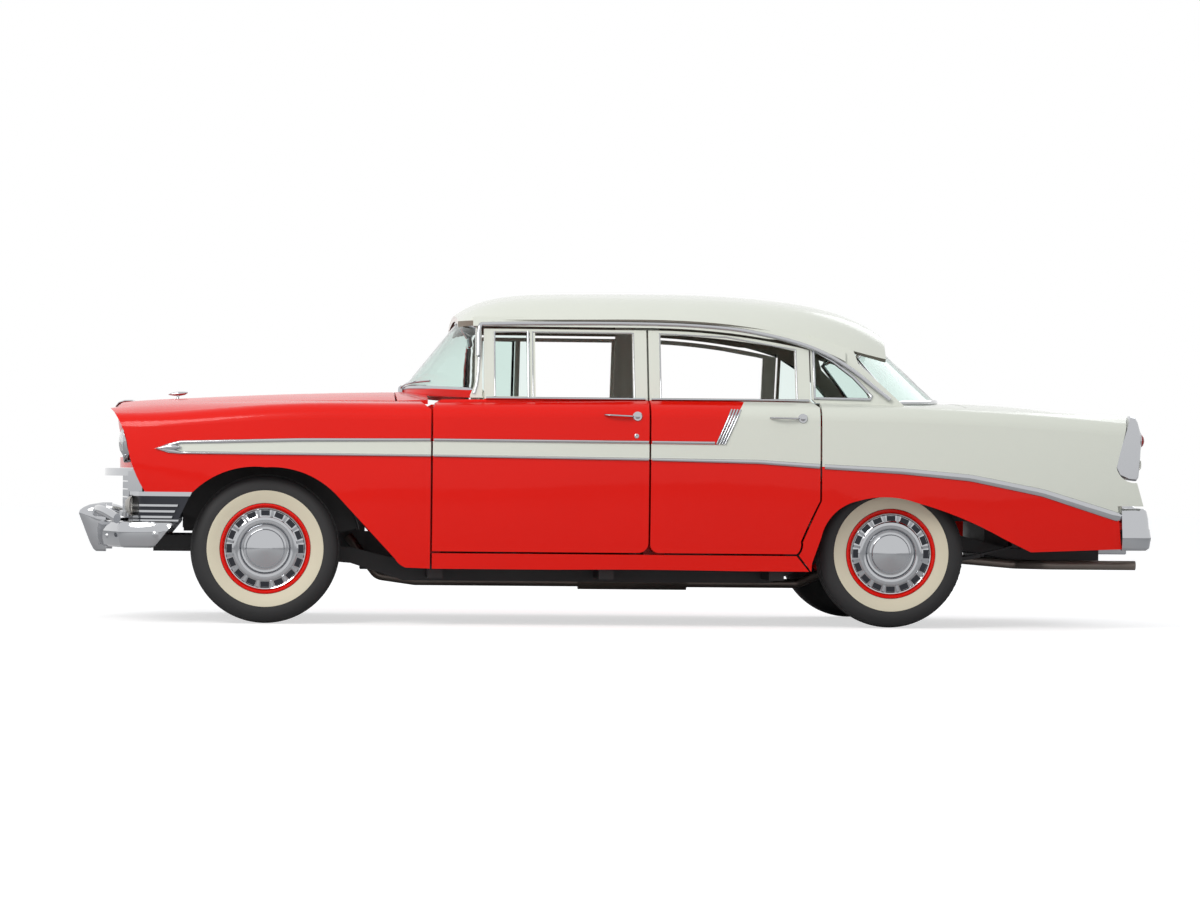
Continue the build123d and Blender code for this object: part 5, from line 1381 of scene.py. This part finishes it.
# %% [markdown]
# The wiper blades lie on curved glass. Straight blades would sink into it, so their points are taken from
# the same arcs as the glass and pushed out a little. The mirror hangs from the roof on a bent stem.

# %% Wipers and mirror


def on_windshield(i, share, out=0.008):
    """A point on the windshield: i counts along its arcs from the left, share goes up from the bottom."""
    (lx, lz, sx, sz), (hx, hz, tx, tz), half_low, half_high = WINDSHIELD
    low = arc3((sx, half_low, sz), (lx, 0, lz), (sx, -half_low, sz), 41)[i]
    high = arc3((tx, half_high, tz), (hx, 0, hz), (tx, -half_high, tz), 41)[i]
    away = Vector((low.x - 0.45, low.y, 0.25)).normalized()
    return low.lerp(high, share) + away * out


blade = [on_windshield(i, 0.06 + 0.006 * (16 - i)) for i in range(9, 18)]
arm = [Vector((1.008, 0.10, 1.100)), Vector((1.012, 0.12, 1.122)), on_windshield(13, 0.075, 0.016)]
pivot = lathe([(0, -0.02), (0.014, -0.02), (0.012, 0.010), (0.007, 0.016), (0, 0.017)], 24)
pivot = moved(pivot, Matrix.Translation((1.008, 0.10, 1.108)))
WIPER_RISE = Vector((0.6, 0, 0.8))
blade_bar = swept(blade, round_section(0.004, 1.4), WIPER_RISE)
arm_bar = swept(rounded(arm, 2), round_section(0.0045, 0.7), WIPER_RISE)
add_pair("wiper", "body", merged(blade_bar, arm_bar, pivot), chrome)
stem_line = [Vector((0.735, 0, 1.436)), Vector((0.715, 0, 1.390)), Vector((0.690, 0, 1.352))]
mirror_stem = swept(stem_line, round_section(0.006), Vector((0, 1, 0)))
mirror_case = beam((-0.012, -0.115, -0.028), (0.010, 0.115, 0.028), 0.008)
mirror_turn = Matrix.Translation((0.686, 0, 1.336)) @ Matrix.Rotation(0.15, 4, "Y")
add_piece("inside_mirror", "body", merged(mirror_stem, moved(mirror_case, mirror_turn)), chrome)
print("wipers and mirror on")

# %% [markdown]
# The benches are padded. A block with round edges looks like stone, so a cloth simulation blows each pad
# up: pressure from inside swells it between its edges, and no point may move further than a cap. Sewn
# pleats are pressed in afterwards, because remeshing would have closed them.

# %% Padded benches
CLOTH_FRAMES = 20
SWELL_CAP = 0.024
PLEATS = (0.52, 0.075, 0.006)
PALE_VINYL = from_srgb(200, 196, 184)


def loafed(profile, half, inset=0.02, corner=0.05):
    """A side-view profile carried across the car, smaller at both ends."""
    centre = Vector((sum(x for x, _ in profile) / len(profile), sum(z for _, z in profile) / len(profile)))
    rings = []
    steps = ((0.0, 0.86), (corner * 0.3, 0.95), (corner, 1.0))
    stations = [(-half + inward, shrink) for inward, shrink in steps]
    stations += [(half - inward, shrink) for inward, shrink in reversed(steps)]
    for y, shrink in stations:
        ring = []
        for x, z in profile:
            p = centre + (Vector((x, z)) - centre) * shrink
            p += (centre - p).normalized() * inset
            ring.append(Vector((p.x, y, p.y)))
        rings.append(ring)
    return rings_joined(rings)


print("no point may swell more than", SWELL_CAP, "m")

# %% A pad blown up by cloth


def puffed(name, shape, cap, voxel=0.014, pressure=4.0):
    """The shape blown up by cloth pressure, as a mesh that is finer by one subdivision."""
    pad = bpy.data.objects.new(name, mesh_of(name, *shape))
    scene.collection.objects.link(pad)
    remesh = pad.modifiers.new("remesh", "REMESH")
    remesh.mode = "VOXEL"
    remesh.voxel_size = voxel
    baked = bpy.data.meshes.new_from_object(pad.evaluated_get(bpy.context.evaluated_depsgraph_get()))
    pad.modifiers.remove(remesh)
    pad.data = baked
    start = [v.co.copy() for v in baked.vertices]
    cloth = pad.modifiers.new("cloth", "CLOTH")
    cloth.settings.use_pressure = True
    cloth.settings.uniform_pressure_force = pressure
    cloth.settings.effector_weights.gravity = 0.0
    cloth.point_cache.frame_end = CLOTH_FRAMES
    for number in range(1, CLOTH_FRAMES + 1):
        scene.frame_set(number)
    moved_mesh = pad.evaluated_get(bpy.context.evaluated_depsgraph_get()).data
    places = []
    for before, vertex in zip(start, moved_mesh.vertices):
        step = vertex.co - before
        places.append(before + step * min(1.0, cap / max(step.length, 1e-9)))
    pad.modifiers.remove(cloth)
    scene.frame_set(1)
    for vertex, place in zip(baked.vertices, places):
        vertex.co = place
    finer = pad.modifiers.new("finer", "SUBSURF")
    finer.levels = finer.render_levels = 1
    fine = bpy.data.meshes.new_from_object(pad.evaluated_get(bpy.context.evaluated_depsgraph_get()))
    bpy.data.objects.remove(pad)
    return fine


print("cloth runs for", CLOTH_FRAMES, "frames")

# %% Pleats


def pleated(mesh, half, pitch, depth, facing, zone):
    """Presses sewn lines into the part of a pad that faces one way and lies in the zone."""
    facing = Vector(facing).normalized()
    normals = [v.normal.copy() for v in mesh.vertices]
    for vertex, normal in zip(mesh.vertices, normals):
        along = normal.dot(facing)
        if along < 0.4 or not zone(vertex.co) or abs(vertex.co.y) > half:
            continue
        off = abs((vertex.co.y / pitch) - round(vertex.co.y / pitch)) * pitch
        vertex.co -= normal * depth * max(0.0, 1 - off / 0.014)
    smooth(mesh, 60.0)
    return mesh


print("half width, pitch and depth of pleats:", PLEATS)

# %% Bench cover


def two_part_cover():
    """Charcoal cloth in the middle of each bench and ivory vinyl round it."""
    made = finish("bench_cloth_and_vinyl", (0.05, 0.05, 0.055), 0.75, shades=0.35, cloud=60.0, grain=0.6,
                  grain_size=700.0)
    tree = made.node_tree
    _, y, z = axes_of(tree, "Object")
    side = math_node(tree, "GREATER_THAN", math_node(tree, "ABSOLUTE", y), 0.53)
    head = math_node(tree, "GREATER_THAN", z, 0.875)
    recolor(made, math_node(tree, "MAXIMUM", side, head), PALE_VINYL)
    return made


bench_cover = two_part_cover()
print("bench finish:", bench_cover.name)

# %% Both benches
# for each bench: x of the hinge line, base height, x of the front, half width, height of the back
BENCHES = {
    "front": (0.000, 0.396, 0.420, 0.635, 0.960),
    "rear": (-1.020, 0.440, -0.560, 0.585, 1.000),
}
for row, (hinge_x, base_z, front_x, half, back_top) in BENCHES.items():
    cushion = [
        (front_x, base_z + 0.004), (front_x, base_z + 0.140), (front_x - 0.035, base_z + 0.188),
        (front_x - 0.12, base_z + 0.188), (hinge_x + 0.05, base_z + 0.160),
        (hinge_x + 0.008, base_z + 0.150), (hinge_x + 0.004, base_z + 0.004),
    ]
    back = [
        (hinge_x - 0.004, base_z + 0.012), (hinge_x - 0.004, base_z + 0.180),
        (hinge_x - 0.088, back_top - 0.034), (hinge_x - 0.110, back_top - 0.008),
        (hinge_x - 0.165, back_top - 0.006), (hinge_x - 0.186, back_top - 0.034),
        (hinge_x - 0.118, base_z + 0.012),
    ]
    mesh = puffed(f"{row}_cushion_start", loafed(cushion, half), SWELL_CAP)
    mesh = pleated(mesh, *PLEATS, (0.2, 0, 1), lambda p: front_x - 0.40 < p.x < front_x - 0.05)
    made = piece(f"{row}_bench_cushion", "body", mesh, bench_cover)
    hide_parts(f"{row}_seat")
    mesh = puffed(f"{row}_back_start", loafed(back, half), SWELL_CAP)
    mesh = pleated(mesh, *PLEATS, (1, 0, 0.1), lambda p: base_z + 0.22 < p.z < back_top - 0.09)
    made = piece(f"{row}_bench_back", "body", mesh, bench_cover)
    print(row, "bench:", len(mesh.polygons), "faces in the back")

# %% Front seat frame
runner = beam((-0.02, 0.500, 0.3255), (0.38, 0.540, 0.352), 0.004)
seat_box = beam((0.03, -0.600, 0.352), (0.395, 0.600, 0.402), 0.008)
add_piece("front_seat_frame", "body", merged(both_sides(runner), seat_box), black_paint)
print("front seat frame:", 2 * len(runner[0]) + len(seat_box[0]), "points")

# %% [markdown]
# A door's trim card follows the door's inner face, which rays from inside the car find point by point. A
# flat board would be simpler, but it would stand off the curved door. On the card sit an armrest, a window
# crank and a bright strip, and all of them swing out with the door.

# %% Door trim
CARD_BACK = 0.0015
CARD_FRONT = 0.011
BAND_HEIGHT = 0.80
KICK_HEIGHT = 0.47


def inner_y(panel, x, z):
    hit = skins[panel].ray_cast(Vector((x, 0.5, z)), Vector((0, 1, 0)))[0]
    return hit.y if hit else 0.85


def door_card(panel, x0, x1, z0, z1, across=20, up=12):
    """Two layers of points that follow the door's inner face, joined round the rim."""
    verts, faces = [], []
    for depth, lift in ((CARD_BACK, 0.0), (CARD_FRONT, 0.002)):
        for j in range(up + 1):
            for i in range(across + 1):
                x, z = x0 + (x1 - x0) * i / across, z0 + (z1 - z0) * j / up
                edge = min(i, across - i, j, up - j) == 0
                off = CARD_BACK if edge else depth
                verts.append(Vector((x, inner_y(panel, x, z) - off - lift, z)))
    row, layer = across + 1, (across + 1) * (up + 1)
    for j in range(up):
        for i in range(across):
            a = j * row + i
            faces.append([a, a + 1, a + row + 1, a + row])
            faces.append([layer + a, layer + a + row, layer + a + row + 1, layer + a + 1])
    rim = list(range(across)) + [across + j * row for j in range(up)]
    rim += [up * row + across - i for i in range(across)] + [(up - j) * row for j in range(up)]
    for a, b in zip(rim, rim[1:] + rim[:1]):
        faces.append([a, a + layer, b + layer, b])
    return verts, faces


print("a card stands", CARD_FRONT, "m inside the door skin")

# %% Window crank


def crank(panel, x, z):
    """The window winder: a boss, a bent arm and a grip."""
    y = inner_y(panel, x, z) - 0.012
    boss = moved(lathe([(0, -0.004), (0.022, -0.004), (0.018, 0.014), (0.010, 0.020), (0, 0.021)], 28),
                 Matrix.Translation((x, y, z)) @ Matrix.Rotation(math.pi / 2, 4, "X"))
    knob = Vector((x - 0.085, y - 0.020, z - 0.075))
    arm_line = [Vector((x, y - 0.016, z)), Vector((x - 0.05, y - 0.020, z - 0.05)), knob]
    grip = moved(lathe([(0, 0.0), (0.010, 0.0), (0.012, 0.014), (0.010, 0.030), (0, 0.032)], 24),
                 Matrix.Translation((x - 0.085, y - 0.018, z - 0.075)) @ Matrix.Rotation(math.pi / 2, 4, "X"))
    return merged(boss, swept(rounded(arm_line, 2), round_section(0.007, 0.6), Vector((0, 1, 0))), grip)


print("crank ready")

# %% Cards on the doors


def card_finish():
    """Ivory upper band over red vinyl, with a dark kick strip at the foot."""
    made = finish("door_card_vinyl", from_srgb(150, 22, 16), 0.45, shades=0.1, grain=0.3, grain_size=420.0)
    z = axes_of(made.node_tree, "Object")[2]
    recolor(made, math_node(made.node_tree, "GREATER_THAN", z, BAND_HEIGHT), PALE_VINYL)
    recolor(made, math_node(made.node_tree, "LESS_THAN", z, KICK_HEIGHT), (0.02, 0.02, 0.02))
    return made


card_vinyl = card_finish()
CARDS = [
    ("front", "front_left_door", "door_front_left", -0.095, 0.825),
    ("rear", "rear_left_door", "door_rear_left", -0.800, -0.225),
]
for row, body, panel, x0, x1 in CARDS:
    add_pair(f"{row}_door_card", body, door_card(panel, x0, x1, 0.39, 0.925), card_vinyl)
    mid = (x0 + x1) / 2
    y = inner_y(panel, mid, 0.70) - 0.012
    rest = beam((mid - 0.17, y - 0.055, 0.690), (mid + 0.13, y + 0.006, 0.745), 0.012)
    add_pair(f"{row}_armrest", body, rest, dark_trim)
    spots = [(x, inner_y(panel, x, BAND_HEIGHT) - 0.0125) for x in (x0 + 0.01, mid, x1 - 0.01)]
    strip_line = [Vector((x, y, BAND_HEIGHT)) for x, y in spots]
    strip = swept(strip_line, round_section(0.005, 1.4), Vector((0, 0, 1)))
    add_pair(f"{row}_door_fittings", body, merged(crank(panel, mid + 0.16, 0.66), strip), chrome)
print("door cards on", len(CARDS) * 2, "doors")

# %% [markdown]
# The dashboard gets what a driver reads and turns: round gauges, a radio grille of thin bars, knobs, a
# glovebox lid and a horn ring. Printed pictures of gauges would look flat from the side, so each gauge is
# a rim, a dark face and a needle, and a row of blocks makes the grille.

# %% Instrument panel
DASH_FACE = 0.838
GAUGES = [(0.37, 0.915, 0.078), (0.235, 0.905, 0.032), (0.505, 0.905, 0.032), (-0.02, 0.915, 0.038)]
KNOB_PLACES = (0.62, 0.58, 0.06, 0.17)
to_driver = Matrix.Rotation(-math.pi / 2, 4, "Y")


def dial(y, z, radius):
    """Rim, face and needle of a gauge that faces the driver."""
    place = Matrix.Translation((DASH_FACE, y, z)) @ to_driver
    inner, outer = radius - 0.006, radius + 0.004
    rim = lathe([(inner, -0.01), (outer, -0.01), (outer, 0.010), (radius, 0.014), (inner, 0.010)], 48)
    face = lathe([(0, -0.008), (inner, -0.008), (inner, 0.004), (0, 0.004)], 48)
    needle = beam((-0.0015, 0.0, 0.004), (0.0015, radius * 0.75, 0.006))
    return moved(rim, place), moved(face, place), moved(needle, place)


rims, faces, needles = zip(*[dial(*gauge) for gauge in GAUGES])
bars = repeated(row_tree, Count=13, Start=(0.826, 0.060, 0.900), Step=(0.0, 0.0095, 0.0),
                Block=(0.012, 0.004, 0.060))
knob = lathe([(0, 0), (0.006, 0), (0.006, 0.014), (0.012, 0.018), (0.011, 0.028), (0, 0.029)], 24)
knobs = [moved(knob, Matrix.Translation((0.842, y, 0.862)) @ to_driver) for y in KNOB_PLACES]
trim_points = [Vector((0.843, y, 0.968)) for y in (-0.67, 0.0, 0.67)]
trim_line = swept(trim_points, round_section(0.006, 1.3), Vector((0, 0, 1)))
glove = beam((0.826, -0.60, 0.865), (0.836, -0.30, 0.945), 0.003)
brightwork = merged(*rims, *needles, bars, *knobs, trim_line)
add_piece("dash_brightwork", "body", brightwork, chrome)
add_piece("dash_dials", "body", merged(*faces), dial_face)
add_piece("glovebox_lid", "body", glove, red_paint)
wheel_place = Matrix.Translation((0.560, 0.370, 0.940)) @ Matrix.Rotation(math.radians(-62), 4, "Y")
horn_angles = [k * math.pi / 4 for k in range(8)]
horn = lathe([(0.128 + 0.004 * math.cos(a), 0.012 + 0.004 * math.sin(a)) for a in horn_angles], 64)
cap = lathe([(0, 0.040), (0.020, 0.038), (0.034, 0.030), (0.040, 0.020), (0.040, 0.016), (0, 0.016)], 40)
add_piece("horn_ring", "body", moved(merged(horn, cap), wheel_place), chrome)
print("instrument panel dressed")

# %% [markdown]
# Under the hood the block stays plain, and a few typical parts make it read as an engine: the rocker
# cover, a round air cleaner, the fan with its pulley, the radiator's fins and its upper hose. Every bolt
# could be modelled, but the bay is seen only with the hood open, so these few forms are enough.

# %% Engine bay
rocker = beam((1.225, -0.075, 0.800), (1.735, 0.075, 0.862), 0.018)
cleaner = lathe([
    (0, 0.0), (0.120, 0.0), (0.165, 0.012), (0.170, 0.030), (0.165, 0.055), (0.120, 0.066), (0.018, 0.070),
    (0.014, 0.082), (0, 0.083),
], 64)
cleaner = moved(cleaner, Matrix.Translation((1.48, 0.11, 0.868)))
neck = lathe([(0, 0), (0.045, 0), (0.040, 0.070), (0, 0.070)], 32)
neck = moved(neck, Matrix.Translation((1.48, 0.11, 0.800)))
add_piece("rocker_cover", "body", merged(rocker, neck), cast_iron)
add_piece("air_cleaner", "body", cleaner, black_paint)
fan_place = Matrix.Translation((1.845, 0, 0.660)) @ Matrix.Rotation(math.pi / 2, 4, "Y")
blades = moved(repeated(ring_tree, Count=4, Radius=0.115, Block=(0.170, 0.070, 0.004)), fan_place)
pulley = moved(lathe([
    (0, -0.065), (0.055, -0.065), (0.070, -0.050), (0.058, -0.040), (0.070, -0.030), (0.050, -0.010),
    (0.040, 0.010), (0, 0.012),
], 40), fan_place)
add_piece("cooling_fan", "body", merged(blades, pulley), alloy)
FIN_ROW = {"Count": 58, "Step": (0, 0.0105, 0), "Block": (0.006, 0.003, 0.480)}
fins = merged(*[repeated(row_tree, Start=(x, -0.300, 0.675), **FIN_ROW) for x in (2.0425, 1.9575)])
add_piece("radiator_fins", "body", fins, black_paint)
HOSE_LINE = [(1.966, 0.10, 0.905), (1.90, 0.10, 0.905), (1.86, 0.08, 0.86), (1.79, 0.06, 0.80),
             (1.76, 0.06, 0.80)]
hose = swept(rounded(HOSE_LINE, 3), round_section(0.021), Vector((0, 1, 0)))
add_piece("radiator_hose", "body", hose, rubber)
print("engine bay dressed")

# %% [markdown]
# The trunk lid carries a small handle and a frame for the number plate, and the plate stays blank. A sheet
# with a hole cut in it could be the frame, but four thin bars are the same form without a boolean.

# %% Trunk handle and plate
PLATE_FRAME = [
    ((-0.158, 0.690), (0.158, 0.698)), ((-0.158, 0.842), (0.158, 0.850)),
    ((-0.158, 0.690), (-0.150, 0.850)), ((0.150, 0.690), (0.158, 0.850)),
]
plate_frame = merged(*[beam((-2.452, *low), (-2.4425, *high)) for low, high in PLATE_FRAME])
HANDLE_LINE = [(-2.436, 0.06, 0.905), (-2.458, 0.045, 0.900), (-2.464, 0.0, 0.892), (-2.458, -0.045, 0.900),
               (-2.436, -0.06, 0.905)]
grip = swept(rounded(HANDLE_LINE, 2), round_section(0.009, 0.7), Vector((0, 0, 1)))
add_piece("trunk_handle", "trunk_lid", merged(grip, plate_frame), chrome)
plate = beam((-2.4485, -0.150, 0.698), (-2.4425, 0.150, 0.842))
add_piece("blank_plate", "trunk_lid", plate, ivory_paint)
print("trunk handle on")

# %% [markdown]
# At the end the view layer is updated once more.

# %% Final update
bpy.context.view_layer.update()
